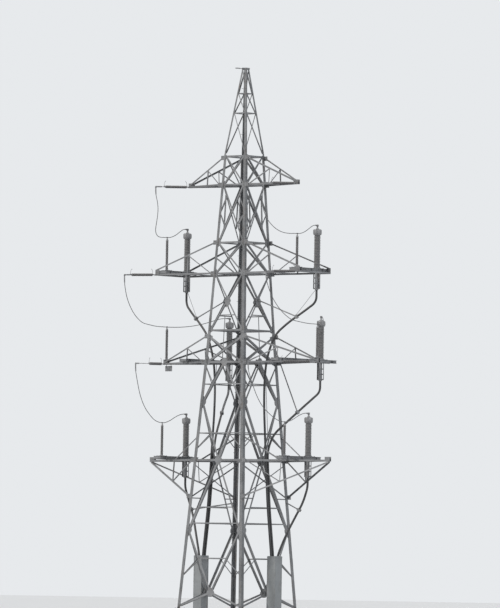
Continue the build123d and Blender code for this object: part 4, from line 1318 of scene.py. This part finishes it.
def line_clamp(bm, start, end, along):
    """Long clamp for the line wire, and the terminal plate under its end."""
    length = (end - start).length
    clamp = [(0, length - CLAMP_LENGTH), (0.022, length - CLAMP_LENGTH), (0.034, length - 0.43)]
    clamp += [(0.034, length - 0.14), (0.03, length - 0.13), (0.034, length - 0.12), (0.034, length + 0.012)]
    clamp += [(0.026, length + 0.03), (0, length + 0.03)]
    turned(bm, clamp, 20, facing(start, end - start))
    side = along.cross(UP).normalized()
    corners = ((-0.035, -0.028), (0.035, -0.028), (0.035, 0.028), (-0.035, 0.028))
    drawn_out(bm, [end + along * a + side * b - UP * 0.028 for a, b in corners], UP * -0.03)
    rod(bm, end - UP * 0.05, end - UP * 0.1, 0.032, 14)


def string_metal(bm, number):
    """Shackle, end fittings, horns, line clamp and jumper sleeve of one string."""
    start, end, low = string_line(number)
    along = (end - start).normalized()
    high = low + INSULATOR_LENGTH
    clamp_start = (end - start).length - CLAMP_LENGTH
    shackle(bm, start, along, low)
    for end_at, way in ((low, -1), (high, 1)):
        turned(bm, end_fitting(end_at, way), 20, facing(start, end - start))
        horn(bm, start + along * (end_at + way * 0.02), along, -way)
    rod(bm, start + along * (high + 0.05), start + along * (clamp_start + 0.02), 0.016, 12)
    line_clamp(bm, start, end, along)
    jumper_sleeve(bm, number)


STRING_PARTS = [("sheds", DARK_RUBBER, string_sheds), ("metal", ALUMINIUM, string_metal)]
in_place_of("string", STRINGS, STRING_PARTS)

# %% [markdown]
# ## Joints of the body
#
# The tower is bolted together from bars that two people can lift. Where bars meet on a leg, a plate
# behind the leg gives room for the bolts. Where two lengths of leg meet, cover plates lap the joint.
# The bolts go in rows along the middle line of each bar. Each head sits on the outside, where the
# nut's end can't hold water.

# %% Plates where bars meet on the legs
# up to a height, the width and thickness of the legs and of the bracing
LEG_WIDTHS = ((WAIST_Z, 0.18, 0.016), (ARM_1_TOP_Z, 0.15, 0.013), (APEX_Z, 0.095, 0.009))
BAR_WIDTHS = ((WAIST_Z, 0.095, 0.009), (ARM_1_TOP_Z, 0.075, 0.007), (APEX_Z, 0.045, 0.005))

# height of a joint, with how far its plate runs in, down and up
LEG_PLATES = (
    (ARM_1_Z, 0.26, 0.2, 0.2),
    (ARM_2_TOP_Z, 0.28, 0.22, 0.22),
    (ARM_2_Z, 0.28, 0.22, 0.22),
    (WAIST_Z + 0.16, 0.3, 0.14, 0.24),
    (WAIST_Z - 0.2, 0.32, 0.28, 0.1),
    (ARM_3_Z, 0.34, 0.14, 0.3),
    (UPPER_KNEE_Z, 0.36, 0.3, 0.3),
    (ARM_4_Z, 0.22, 0.1, 0.1),
    (LOWER_KNEE_Z, 0.36, 0.32, 0.32),
)
LEG_PLATE_EDGE = 0.03
LEG_PLATE_THICK = 0.008


def sized(table, z):
    """Width and thickness of the bars in use at a height."""
    for top, width, thick in table:
        if z < top:
            return width, thick
    return table[-1][1:]


def lap(z):
    """How far out the middle line of a bracing bar ends on a leg."""
    return half(z) - sized(LEG_WIDTHS, z)[1] - sized(BAR_WIDTHS, z)[0] * 1.6


def on_leg(side, way, inward, z, inset=0.0):
    """Point on a leg's flange: which leg of the side, how far in from the corner, and how high."""
    return on_side(side, way * (half(z) - inward), z, inset)


def head_on(side, u, z, inset=0.0, lift=0.0):
    """Matrix of a bolt head on a side of the body, inset as a point is and lifted off its surface."""
    normal = side_normal(side, z)
    return facing(on_side(side, u, z, inset) + normal * lift, normal)


def leg_plates(bm):
    """Plates behind the leg flanges where diagonals and level bars meet them."""
    for side in SIDES:
        for z, reach, down, up in LEG_PLATES:
            width, thick = sized(LEG_WIDTHS, z)
            inset = thick + 2 * SEAT_GAP + sized(BAR_WIDTHS, z)[1]
            edge = [(LEG_PLATE_EDGE, -down), (width, -down), (reach, -0.06), (reach, 0.06), (width, up)]
            edge.append((LEG_PLATE_EDGE, up))
            for way in (-1, 1):
                outline = [on_leg(side, way, inward, z + dz, inset) for inward, dz in edge]
                drawn_out(bm, outline, side_normal(side, z) * -LEG_PLATE_THICK)


new_piece("leg_joint_plates", STEEL, [leg_plates])

# %% Bolts where bars lap on the legs
WAIST_BAR_Z = WAIST_Z + 0.15
LEVEL_BARS = (ARM_1_Z, ARM_2_TOP_Z, ARM_2_Z, WAIST_BAR_Z, ARM_3_Z, ARM_4_Z)
BASE_FOOT_Z = 0.445
ROOT_PLATE_LIFT = 0.0105
# height where a diagonal ends, and whether it comes from above (1) or from below (-1)
DIAGONAL_ENDS = (
    (ARM_1_TOP_Z - 0.075, -1),
    (ARM_1_Z, 1),
    (ARM_1_Z, -1),
    (ARM_2_TOP_Z, 1),
    (ARM_2_TOP_Z, -1),
    (ARM_2_Z, 1),
    (ARM_2_Z, -1),
    (WAIST_BAR_Z, 1),
    (WAIST_Z - 0.19, -1),
    (ARM_3_Z, 1),
    (UPPER_KNEE_Z, 1),
    (UPPER_KNEE_Z, -1),
    (LOWER_KNEE_Z, 1),
    (LOWER_KNEE_Z, -1),
    (BASE_FOOT_Z - 0.06, 1),
)


def leg_bolt_spots():
    """Where bars are bolted to the leg flanges: a joint's height, and how far in and up from there."""
    spots = [(z, inward, 0.0) for z in LEVEL_BARS for inward in (0.075, 0.13)]
    return spots + [(z, 0.1, way * step) for z, way in DIAGONAL_ENDS for step in (0.075, 0.145)]


def leg_bolts(bm):
    """Bolt heads on the outside of the leg flanges, also where an arm's root plate lies on them."""
    matrices = []
    for side in SIDES:
        for z, inward, dz in leg_bolt_spots():
            on_root_plate = side in ("front", "back") and abs(dz) < 0.11
            knee = z in (UPPER_KNEE_Z, LOWER_KNEE_Z)
            lift = ROOT_PLATE_LIFT if on_root_plate and not knee else 0.0
            u = half(z + dz) - inward
            matrices += [head_on(side, way * u, z + dz, lift=lift) for way in (-1, 1)]
    stamp(bm, BOLT, matrices)
    print(len(matrices), "leg bolts")


new_piece("leg_bolts", BOLT_STEEL, [leg_bolts])

# %% [markdown]
# In the middle of a side the bars meet on six-sided plates, or they just cross. A single bolt
# through a crossing makes each bar stiffen the other.

# %% Bolts in the middle of the sides
HIGHEST_MEET_Z = 15.66
MIDDLE_PLATES = (HIGHEST_MEET_Z, ARM_3_Z, ARM_4_Z, BASE_MID_Z)
CROSSED_PANELS = (
    (WAIST_BAR_Z, ARM_2_Z),
    (ARM_2_Z, ARM_2_TOP_Z),
    (ARM_2_TOP_Z, ARM_1_Z),
    (ARM_1_Z, ARM_1_TOP_Z - 0.075),
    (ARM_3_Z, WAIST_Z - 0.19),
)


def crossing_z(low_z, high_z):
    """Height at which the two diagonals of a panel cross."""
    return low_z + (high_z - low_z) * lap(low_z) / (lap(low_z) + lap(high_z))


def middle_bolts(bm):
    """Bolt heads on the middle plates, and one where two diagonals cross."""
    spots = [(0.0, crossing_z(*panel)) for panel in CROSSED_PANELS]
    for z in MIDDLE_PLATES:
        for sx, sy in CORNERS:
            spots += [(sx * u, z + sy * dz) for u, dz in ((0.115, 0.11), (0.07, 0.165))]
    heads = [head_on(side, u, z, sized(LEG_WIDTHS, z)[1]) for side in SIDES for u, z in spots]
    stamp(bm, SMALL_BOLT, heads)
    print(len(heads), "bolts in the middle of the sides")


new_piece("middle_bolts", BOLT_STEEL, [middle_bolts])

# %% [markdown]
# The legs come in lengths of about five metres. Cover plates on the outside of both flanges make
# each joint as strong as the bar. They stay clear of the arms and of the bracing.

# %% Splices of the legs
SPLICES = (2.75, 6.9, 9.75, WAIST_Z + 0.55, 19.9, ARM_1_TOP_Z + 0.34)
SPLICE_HALF = 0.2
SPLICE_EDGE = 0.006
SPLICE_THICK = 0.009
SPLICE_ROWS = (0.3, 0.72)
SPLICE_BOLTS = (-0.155, -0.095, -0.035, 0.035, 0.095, 0.155)


def splice_places():
    """Each cover plate: its side, its leg, its height and the leg's width there."""
    for side in SIDES:
        for z in SPLICES:
            for way in (-1, 1):
                yield side, way, z, sized(LEG_WIDTHS, z)[0]


def splice_plates(bm):
    """Cover plates on both flanges of every leg."""
    for side, way, z, width in splice_places():
        low, high = z - SPLICE_HALF, z + SPLICE_HALF
        near, far = SPLICE_EDGE, width - SPLICE_EDGE
        edge = ((near, low), (far, low), (far, high), (near, high))
        outline = [on_leg(side, way, inward, pz, -SEAT_GAP) for inward, pz in edge]
        drawn_out(bm, outline, side_normal(side, z) * SPLICE_THICK)


def splice_bolts(bm):
    """Two rows of bolts on every cover plate."""
    matrices = []
    for side, way, z, width in splice_places():
        for row in SPLICE_ROWS:
            for dz in SPLICE_BOLTS:
                u = way * (half(z + dz) - row * width)
                matrices.append(head_on(side, u, z + dz, lift=SPLICE_THICK + SEAT_GAP))
    stamp(bm, SMALL_BOLT, matrices)


new_piece("leg_splices", LEG_STEEL, [splice_plates])
new_piece("splice_bolts", BOLT_STEEL, [splice_bolts])

# %% [markdown]
# ## The thinnest bracing
#
# Between the main bars run thin ones that only keep the others from buckling. Level ones tie the
# diagonals of a side at mid height. At each arm's level two crossed bars inside the body keep its
# plan square when the wires of one side pull harder.

# %% Thin level bars and plan bracing
# where the diagonals of a panel meet, and where they reach the legs
HIGHEST_PANEL = (HIGHEST_MEET_Z, WAIST_BAR_Z)
UPPER_PANEL = (ARM_3_Z, UPPER_KNEE_Z)
LOWER_PANEL = (ARM_4_Z, UPPER_KNEE_Z)
KNEE_PANEL = (ARM_4_Z, LOWER_KNEE_Z)
BASE_PANEL = (BASE_MID_Z, LOWER_KNEE_Z)
THIN_BARS = ((15.05, HIGHEST_PANEL), (5.45, KNEE_PANEL), (2.9, BASE_PANEL))
PLAN_LEVELS = (ARM_1_Z, ARM_2_Z, WAIST_BAR_Z, ARM_3_Z, ARM_4_Z)
THIN_WIDTH = 0.05
THIN_THICK = 0.006
THIN_LAYER = 0.0065
PLAN_WIDTH = 0.06


def on_diagonal(z, panel):
    """Distance from a side's middle to the diagonal at a height."""
    meet_z, leg_z = panel
    return lap(leg_z) * abs(z - meet_z) / abs(leg_z - meet_z)


def thin_bar(bm, side, start, end, layer=0):
    """A thin angle bar between two spots (u, z) of a side, behind its bars, with a bolt at each end."""
    normal = side_normal(side, (start[1] + end[1]) / 2)
    ends = []
    for u, z in (start, end):
        inset = sized(LEG_WIDTHS, z)[1] + sized(BAR_WIDTHS, z)[1] + 3 * SEAT_GAP
        ends.append(on_side(side, u, z, inset + layer * THIN_LAYER))
    a, b = ends
    angle_bar(bm, a, b, normal, THIN_WIDTH, THIN_THICK)
    run = (b - a).normalized() * 0.03
    small_bolts(bm, [spot - normal * (THIN_THICK + SEAT_GAP) for spot in (a + run, b - run)], -normal)


def thin_bars(bm):
    """Level bars between the diagonals of each side, behind them."""
    for side in SIDES:
        for z, panel in THIN_BARS:
            reach = on_diagonal(z, panel)
            thin_bar(bm, side, (-reach - 0.03, z), (reach + 0.03, z))
            inset = sized(LEG_WIDTHS, z)[1]
            stamp(bm, SMALL_BOLT, [head_on(side, way * reach, z, inset) for way in (-1, 1)])


def plan_bracing(bm):
    """Two crossed bars from leg to leg at each arm's level, one under the other."""
    for z in PLAN_LEVELS:
        corner = half(z) - sized(LEG_WIDTHS, z)[1] - 0.045
        for sx, low in ((1, z - 0.02), (-1, z - 0.075)):
            start = Vector((-sx * corner, -corner, low))
            end = Vector((sx * corner, corner, low))
            angle_bar(bm, start, end, -UP, PLAN_WIDTH, THIN_THICK, Vector((sx, -1, 0)))


new_piece("thin_bracing", STEEL, [thin_bars, plan_bracing])

# %% [markdown]
# In the tall panels short struts also halve the free length of the legs and of the diagonals. A
# strut carries almost nothing. It holds the middle of a long bar in place, so a lighter bar will do.

# %% Short struts in the tall panels
def leg_spot(z):
    """Spot (u, z) on the line of bolts in a leg's flange."""
    return half(z) - sized(LEG_WIDTHS, z)[0] * 0.55, z


def diagonal_spot(z, panel, end_z=None):
    """Spot (u, z) where a strut meets a diagonal, or just above or below there at end_z."""
    return on_diagonal(z, panel), z if end_z is None else end_z


# spots at the two ends of a strut, and the layer it lies in behind the bars
SIDE_STRUTS = (
    # the panel under the highest arms
    ((0.46, 19.45), (0.46, 21.1), 0),
    (leg_spot(20.27), (0.44, 20.95), 1),
    (leg_spot(20.15), (0.46, 19.6), 1),
    # the panels between the third and the fourth level
    (leg_spot(12.5), diagonal_spot(11.6, UPPER_PANEL, 11.66), 1),
    (diagonal_spot(9.15, LOWER_PANEL), leg_spot(9.15), 0),
    (diagonal_spot(9.15, LOWER_PANEL, 9.1), leg_spot(8.4), 1),
    # between the feet and the lowest thin bar
    (leg_spot(2.05), diagonal_spot(2.85, BASE_PANEL), 1),
)
ARM_SIDE_STRUTS = ((leg_spot(5.9), diagonal_spot(5.95, KNEE_PANEL, 5.9), 0),)
STRUT_BAR_Z = 11.6


def struts(bm, side, table):
    """The struts of a table, at both legs of a side."""
    for (start_u, start_z), (end_u, end_z), layer in table:
        for way in (-1, 1):
            thin_bar(bm, side, (way * start_u, start_z), (way * end_u, end_z), layer)


def across(bm, side, start_z, end_z, layer, way=1):
    """A thin bar from leg to leg. It starts on the left, or on the right where way is -1."""
    start_u, end_u = leg_spot(start_z)[0], leg_spot(end_z)[0]
    thin_bar(bm, side, (-way * start_u, start_z), (way * end_u, end_z), layer)


def short_struts(bm):
    """Struts of all four sides, with a hanger and crossed bars on the two that carry the arms."""
    for side in SIDES:
        struts(bm, side, SIDE_STRUTS)
        across(bm, side, STRUT_BAR_Z, STRUT_BAR_Z, 0)
    for side in ("left", "right"):
        struts(bm, side, ARM_SIDE_STRUTS)
        thin_bar(bm, side, (0.0, 15.07), (0.0, 12.72), 1)
        across(bm, side, 7.55, 5.98, 1)
        across(bm, side, 7.55, 5.98, 2, -1)


new_piece("short_struts", STEEL, [short_struts])

# %% [markdown]
# The long arms at the bottom have knee struts. Each one runs from a level chord up to the nearest
# leg, where it also steadies the platform. They are plain angle bars, flat on the chord's outside.

# %% Knee struts of the lowest arms
# reach of an arm, its level, the level of its sloping chords, and its half-width at the tip
ARMS = (
    (3.58, ARM_1_Z, ARM_1_TOP_Z - 0.15, 0.06),
    (4.78, ARM_2_Z, ARM_2_TOP_Z, 1.185),
    (5.09, ARM_3_Z, WAIST_Z - 0.15, 0.06),
    (5.9, ARM_4_Z, ARM_4_FOOT_Z, 0.06),
)
ROOT_X = 0.06
ROOT_OUT = 0.0093
KNEE_X = 3.46
KNEE_TOP_Z = 8.95
KNEE_WIDTH = 0.06


def chord_y(x, arm):
    """How far from the middle a level chord's outside is, at a distance from the tower's axis."""
    reach, level_z, _, tip_half = arm
    root_x = half(level_z) + ROOT_X
    root_y = half(level_z) + ROOT_OUT
    return root_y + (tip_half + 0.004 - root_y) * (x - root_x) / (reach - 0.03 - root_x)


def knee_struts(bm):
    """A strut on each chord of a lowest arm, up to a plate on the leg."""
    foot_y = chord_y(KNEE_X, ARMS[3]) - 0.012
    head_x = half(KNEE_TOP_Z) + SEAT_GAP
    for way in (-1, 1):
        start = Vector((KNEE_X, way * foot_y, ARM_4_Z + 0.03))
        end = Vector((head_x, way * (half(KNEE_TOP_Z) - 0.075), KNEE_TOP_Z))
        angle_bar(bm, start, end, Vector((0, way, 0)), KNEE_WIDTH, THIN_THICK, UP)
        plate_x = head_x + 0.01
        slab(bm, (head_x, end.y - 0.07, end.z - 0.1), (plate_x, end.y + 0.07, end.z + 0.06), 0.002)
        spots = [Vector((plate_x, end.y + dy, end.z + 0.035)) for dy in (-0.045, 0.045)]
        small_bolts(bm, spots, Vector((1, 0, 0)))


on_both_sides("knee_struts", STEEL, knee_struts)

# %% [markdown]
# ## Bolts of the arms and platforms
#
# Each arm hangs on plates that lap on the legs, and its tip is closed by a floor plate and two
# cheeks. The channels of a platform lie across the chords and are bolted down through clips.

# %% Bolts of the arms
# how far out a tip's bolts sit, how high over the level, and how far back from the reach
POINTED_TIP = (0.005, 0.02, (0.17, 0.1, 0.03))
SQUARE_TIP = (0.004, 0.12, (0.2, 0.12, 0.05))


def arm_bolts(bm):
    """Bolts in the root plates and tip cheeks of the four arms."""
    for reach, level_z, other_z, tip_half in ARMS:
        out, rise, backs = POINTED_TIP if tip_half < 0.5 else SQUARE_TIP
        for way in (-1, 1):
            normal = Vector((0, way, 0))
            for z in (level_z, other_z):
                root = [(half(z) + dx, z + dz) for dx in (0.075, 0.14) for dz in (-0.055, 0.055)]
                spots = [Vector((x, way * (half(bz) + ROOT_PLATE_LIFT), bz)) for x, bz in root]
                stamp(bm, BOLT, [facing(spot, normal) for spot in spots])
            spots = [Vector((reach - back, way * (tip_half + out), level_z + rise)) for back in backs]
            small_bolts(bm, spots, normal)


on_both_sides("arm_bolts", BOLT_STEEL, arm_bolts)

# %% Fixings of the platforms
# middle of a platform, and how far it runs to the front and to the back
PLATFORMS = (
    (X_2, -1.17, 1.17),
    (X_3, -0.97, 3.54),
    (X_4, -1.64, 1.24),
)
CHANNEL_EDGE = 0.21
CHANNEL_FLANGE = 0.065
CHANNEL_WALL = 0.008


def channel_fixings(bm, way, platform, arm):
    """Bolts where one channel of a platform crosses the chords, and stiffeners inside it."""
    middle, low_y, high_y = platform
    inner = middle + way * CHANNEL_EDGE
    outer = inner + way * CHANNEL_FLANGE
    centre = (inner + outer) / 2
    floor_z = arm[1] + CHORD_HALF + SEAT_GAP + CHANNEL_WALL
    chord_middle = chord_y(centre, arm) - CHORD_HALF
    for y in (-chord_middle, chord_middle):
        small_bolts(bm, [Vector((centre + way * CHANNEL_WALL, y, floor_z))], UP)
    low_x, high_x = sorted((inner + way * CHANNEL_WALL, outer - way * 0.002))
    top_z = floor_z + CHANNEL_DEPTH - 2 * CHANNEL_WALL
    for y in (low_y + 0.35, (low_y + high_y) / 2, high_y - 0.35):
        slab(bm, (low_x, y - 0.004, floor_z), (high_x, y + 0.004, top_z))


def platform_fixings(bm):
    """Fixings of both channels of each platform, and bolts in their end plates."""
    for platform, arm in zip(PLATFORMS, ARMS[1:]):
        for way in (-1, 1):
            channel_fixings(bm, way, platform, arm)
        middle, low_y, high_y = platform
        base = arm[1] + CHORD_HALF + SEAT_GAP
        for y, out in ((low_y, -1), (high_y, 1)):
            spots = [Vector((middle + dx, y, base + dz)) for dx in (-0.16, 0.16) for dz in (0.05, 0.11)]
            small_bolts(bm, spots, Vector((0, out, 0)))


on_both_sides("platform_fixings", STEEL, platform_fixings)

# %% [markdown]
# A flat steel strip on the outside of the two arm sides bonds the third level's platforms to the
# level bar below. It carries the current of an arrester past the bolted joints of the body.

# %% Bonding strips
STRIP_U = 0.38
STRIP_WIDTH = 0.04
STRIP_THICK = 0.005
STRIP_LEVELS = (ARM_3_Z - 0.02, STRUT_BAR_Z, 9.15, ARM_4_Z + 0.02)


def bonding_strips(bm):
    """A strip down each arm side from the third level to the fourth, bolted to the level bars."""
    top_z, foot_z = STRIP_LEVELS[0] + 0.04, STRIP_LEVELS[-1] - 0.04
    inset = sized(LEG_WIDTHS, foot_z)[1]
    edge = STRIP_WIDTH / 2
    near, far = STRIP_U - edge, STRIP_U + edge
    corners = ((near, foot_z), (far, foot_z), (far, top_z), (near, top_z))
    for side in ("right", "left"):
        normal = side_normal(side, foot_z)
        drawn_out(bm, [on_side(side, u, z, inset) for u, z in corners], normal * STRIP_THICK)
        out = normal * (STRIP_THICK + SEAT_GAP)
        spots = [on_side(side, STRIP_U, z, inset) + out for z in STRIP_LEVELS]
        small_bolts(bm, spots, normal)


new_piece("bonding_strips", STEEL, [bonding_strips])

# %% [markdown]
# ## Step bolts
#
# People climb one leg on long bolts that stand out by turns from its two flanges. They start above
# the reach of someone on the ground.

# %% Step bolts on the back left leg
STEP_START = 3.3
STEP_RISE = 0.38
STEP_END = APEX_Z - 0.6
STEP_LENGTH = 0.15
STEP_INWARD = 0.045
ARM_ENDS = (ARM_1_TOP_Z, ARM_1_TOP_Z - 0.15, WAIST_Z, WAIST_Z - 0.15, ARM_4_FOOT_Z)


def clear_of_joints(z):
    """Whether a step would miss the arms, the level bars and the splices."""
    near_bar = any(abs(z - level) < 0.17 for level in ARM_ENDS + LEVEL_BARS)
    near_splice = any(abs(z - level) < 0.24 for level in SPLICES)
    return not near_bar and not near_splice


def step_bolts(bm):
    """Long bolts with a nut at the flange and a head at the end, by turns on two flanges."""
    for i in range(math.ceil((STEP_END - STEP_START) / STEP_RISE)):
        z = STEP_START + i * STEP_RISE
        if clear_of_joints(z):
            side, towards_leg = (("back", 1), ("left", -1))[i % 2]
            normal = SIDES[side][0]
            foot = on_leg(side, towards_leg, STEP_INWARD, z)
            rod(bm, foot - normal * 0.03, foot + normal * STEP_LENGTH, 0.0085, 8)
            rod(bm, foot, foot + normal * 0.012, 0.016, 6)
            rod(bm, foot + normal * (STEP_LENGTH - 0.01), foot + normal * STEP_LENGTH, 0.017, 10)


new_piece("step_bolts", BOLT_STEEL, [step_bolts])

# %% [markdown]
# ## Feet, guards and cable clamps
#
# At each foot the leg is bolted between fins on a thick plate, and four anchor bolts come up from
# the concrete. The guards at the cables' feet are folded sheet, stiffened by corner angles and
# bands, and closed by a row of screws.

# %% Leg feet
FOOTING_TOP = 0.35
FOOT_PLATE = 0.022
FIN = ((0.0, 0.022), (0.09, 0.022), (0.09, 0.05), (0.012, 0.2), (0.0, 0.2))
FIN_THICK = 0.01


def leg_feet(bm):
    """Base plate, fins and anchor bolts of each leg."""
    middle = half(FOOTING_TOP) - 0.09
    fin = [(half(FOOTING_TOP + rise) + SEAT_GAP + reach, FOOTING_TOP + rise) for reach, rise in FIN]
    for sx, sy in CORNERS:
        place = Vector((sx * middle, sy * middle, FOOTING_TOP))
        slab(bm, (-0.2, -0.2, SEAT_GAP), (0.2, 0.2, FOOT_PLATE), 0.003, Matrix.Translation(place))
        for dx, dy in CORNERS:
            spot = place + Vector((dx * 0.155, dy * 0.155, FOOT_PLATE))
            stamp(bm, BOLT, [facing(spot, UP)])
            rod(bm, spot, spot + UP * 0.055, 0.011, 10)
        drawn_out(bm, [Vector((sx * out, place.y, z)) for out, z in fin], Vector((0, sy * FIN_THICK, 0)))
        drawn_out(bm, [Vector((place.x, sy * out, z)) for out, z in fin], Vector((sx * FIN_THICK, 0, 0)))


new_piece("leg_feet", LEG_STEEL, [leg_feet])

# %% Guards
GUARD_X = 2.43
GUARD_HALF = 0.26
GUARD_BAND_TOP = 3.05 - 0.06
TRIM_THICK = 0.004
TRIM_WIDTH = 0.045
BAND_OUT = GUARD_HALF + 0.009
SCREW_OUT = GUARD_HALF + 0.0045
SCREW_IN = GUARD_HALF - 0.022


def corner_strips(bm):
    """An angle of thin sheet over each corner of a guard."""
    for sx, sy in CORNERS:
        x, y = GUARD_X + sx * (GUARD_HALF + SEAT_GAP), sy * (GUARD_HALF + SEAT_GAP)
        for dx, dy in ((TRIM_WIDTH, TRIM_THICK), (TRIM_THICK, TRIM_WIDTH)):
            low_x, high_x = sorted((x + sx * TRIM_THICK, x - sx * (dx - TRIM_THICK)))
            low_y, high_y = sorted((y + sy * TRIM_THICK, y - sy * (dy - TRIM_THICK)))
            slab(bm, (low_x, low_y, 0.012), (high_x, high_y, GUARD_BAND_TOP), 0.001)


def band_reach(sign):
    """How far a band runs along an axis: right through, or only as thick as it is."""
    return sorted((sign * (BAND_OUT - 0.006), sign * BAND_OUT)) if sign else (-BAND_OUT, BAND_OUT)


def guard_bands(bm):
    """Three bands round a guard, the highest of them near its rim."""
    for z in (0.35, 1.75, GUARD_BAND_TOP):
        for sx, sy in ((1, 0), (-1, 0), (0, 1), (0, -1)):
            low_x, high_x = band_reach(sx)
            low_y, high_y = band_reach(sy)
            slab(bm, (GUARD_X + low_x, low_y, z - 0.03), (GUARD_X + high_x, high_y, z + 0.03), 0.0015)


def guard_screws(bm):
    """A row of screws down both flanges of each corner strip."""
    heights = [0.15 + i * 0.245 for i in range(12)]
    for sx, sy in CORNERS:
        for x, y, out in ((SCREW_OUT, SCREW_IN, (sx, 0, 0)), (SCREW_IN, SCREW_OUT, (0, sy, 0))):
            spots = [Vector((GUARD_X + sx * x, sy * y, z)) for z in heights]
            small_bolts(bm, spots, Vector(out))


def guard_trim(bm):
    """Corner strips, bands and screws of a cable guard."""
    for make in (corner_strips, guard_bands, guard_screws):
        make(bm)


on_both_sides("guard_trim", GUARD_PAINT, guard_trim)

# %% [markdown]
# A cable clamp is two cast halves with a bolt at each corner. Down the middle of a side the cables
# share one clamp bar instead.

# %% Bolts of the cable clamps
# two points of each cable, with the clamp half-way between them
CLAMPED_RUNS = (
    ((3.7, 0.45, 15.23), (2.96, 0.205, 14.72)),
    ((2.72, 1.875, 10.65), (2.29, 1.08, 9.85)),
    ((3.76, 0.54, 5.72), (3.37, 0.42, 5.0)),
)
CLAMP_HALF = 0.085
CABLE_STANDOFF = 0.2


def clamp_frame(run):
    """Middle of a clamp, with its directions along and across the cable and out from it."""
    start, end = (Vector(point) for point in run)
    along = (end - start).normalized()
    side = along.cross(UP).normalized()
    return (start + end) / 2, along, side, side.cross(along).normalized()


def clamp_bolts(bm):
    """Bolts through the clamps on the sloping runs and through the clamp bar."""
    for run in CLAMPED_RUNS:
        middle, along, side, rise = clamp_frame(run)
        for face in (rise, -rise):
            top = middle + face * CLAMP_HALF
            spots = [top + along * (a * 0.035) + side * (b * 0.068) for a, b in CORNERS]
            small_bolts(bm, spots, face)
    x = half(ARM_4_Z) + CABLE_STANDOFF + CLAMP_HALF
    spots = [Vector((x, y, ARM_4_Z + dz)) for y in (-0.141, 0.0, 0.141) for dz in (-0.025, 0.025)]
    small_bolts(bm, spots, Vector((1, 0, 0)))


def bonding_rod(bm):
    """Round bar from the highest pipe's foot to its clamp, which earths the cable's screen."""
    middle, along, _, rise = clamp_frame(CLAMPED_RUNS[0])
    foot = middle + rise * (CLAMP_HALF + 0.012) - along * 0.02
    head = sealing_place(2) + Vector((-0.1, 0.0, PIPE_FOOT + 0.03))
    points = [head + Vector((0.03, 0, 0.0)), head, head - UP * 0.06]
    points += [head.lerp(foot, t) - UP * (0.12 * t * (1 - t) + 0.03 * (1 - t)) for t in (0.25, 0.5, 0.75)]
    bent_rod(bm, points + [foot - along * 0.03, foot + along * 0.06], 0.011, 10)


on_both_sides("clamp_bolts", BOLT_STEEL, clamp_bolts)
on_both_sides("bonding_rod", STEEL, bonding_rod)

# %% [markdown]
# The peak carries the earth wire. Its clamp is bolted through the lug on the cap, and the legs are
# bolted to the rim of the cap.

# %% Bolts of the peak
CAP_REACH = 0.145


def peak_bolts(bm):
    """Bolts round the cap's rim, through the earth wire's lug and at the ends of the peak's bars."""
    ring_spots = [(0.05, z + dz) for z in (RING_A_Z, RING_B_Z) for dz in (-0.05, 0.0, 0.05)]
    end_spots = [(0.045, z) for z in (APEX_Z - 0.14, APEX_Z - 0.2, ARM_1_TOP_Z + 0.12)]
    heads = []
    for side, (normal, along) in SIDES.items():
        rim = [(u, z) for u in (-0.1, 0.1) for z in (APEX_Z + 0.035, APEX_Z + 0.07)]
        heads += [facing(normal * CAP_REACH + along * u + UP * z, normal) for u, z in rim]
        for way in (-1, 1):
            for inward, z in ring_spots + end_spots:
                heads.append(head_on(side, way * (half(z) - inward), z))
    for way in (-1, 1):
        heads.append(facing(Vector((way * 0.0245, -0.195, APEX_Z + 0.045)), Vector((way, 0, 0))))
    stamp(bm, SMALL_BOLT, heads)
    print(len(heads), "bolts on the peak")


new_piece("peak_bolts", BOLT_STEEL, [peak_bolts])

# %% [markdown]
# Under the tip of the left arm of the third level hangs a small blank plate on two straps.

# %% Plate under an arm
def hanging_plate(bm):
    """Flat plate hung on two straps."""
    slab(bm, (-5.06, -0.005, ARM_3_Z - 0.38), (-4.6, 0.005, ARM_3_Z - 0.11), 0.002)
    for x in (-4.98, -4.68):
        slab(bm, (x - 0.015, 0.0053, ARM_3_Z - 0.19), (x + 0.015, 0.0093, ARM_3_Z - 0.045), 0.001)
        small_bolts(bm, [Vector((x, 0.0093, ARM_3_Z - 0.16))], Vector((0, 1, 0)))


new_piece("hanging_plate", STEEL, [hanging_plate])
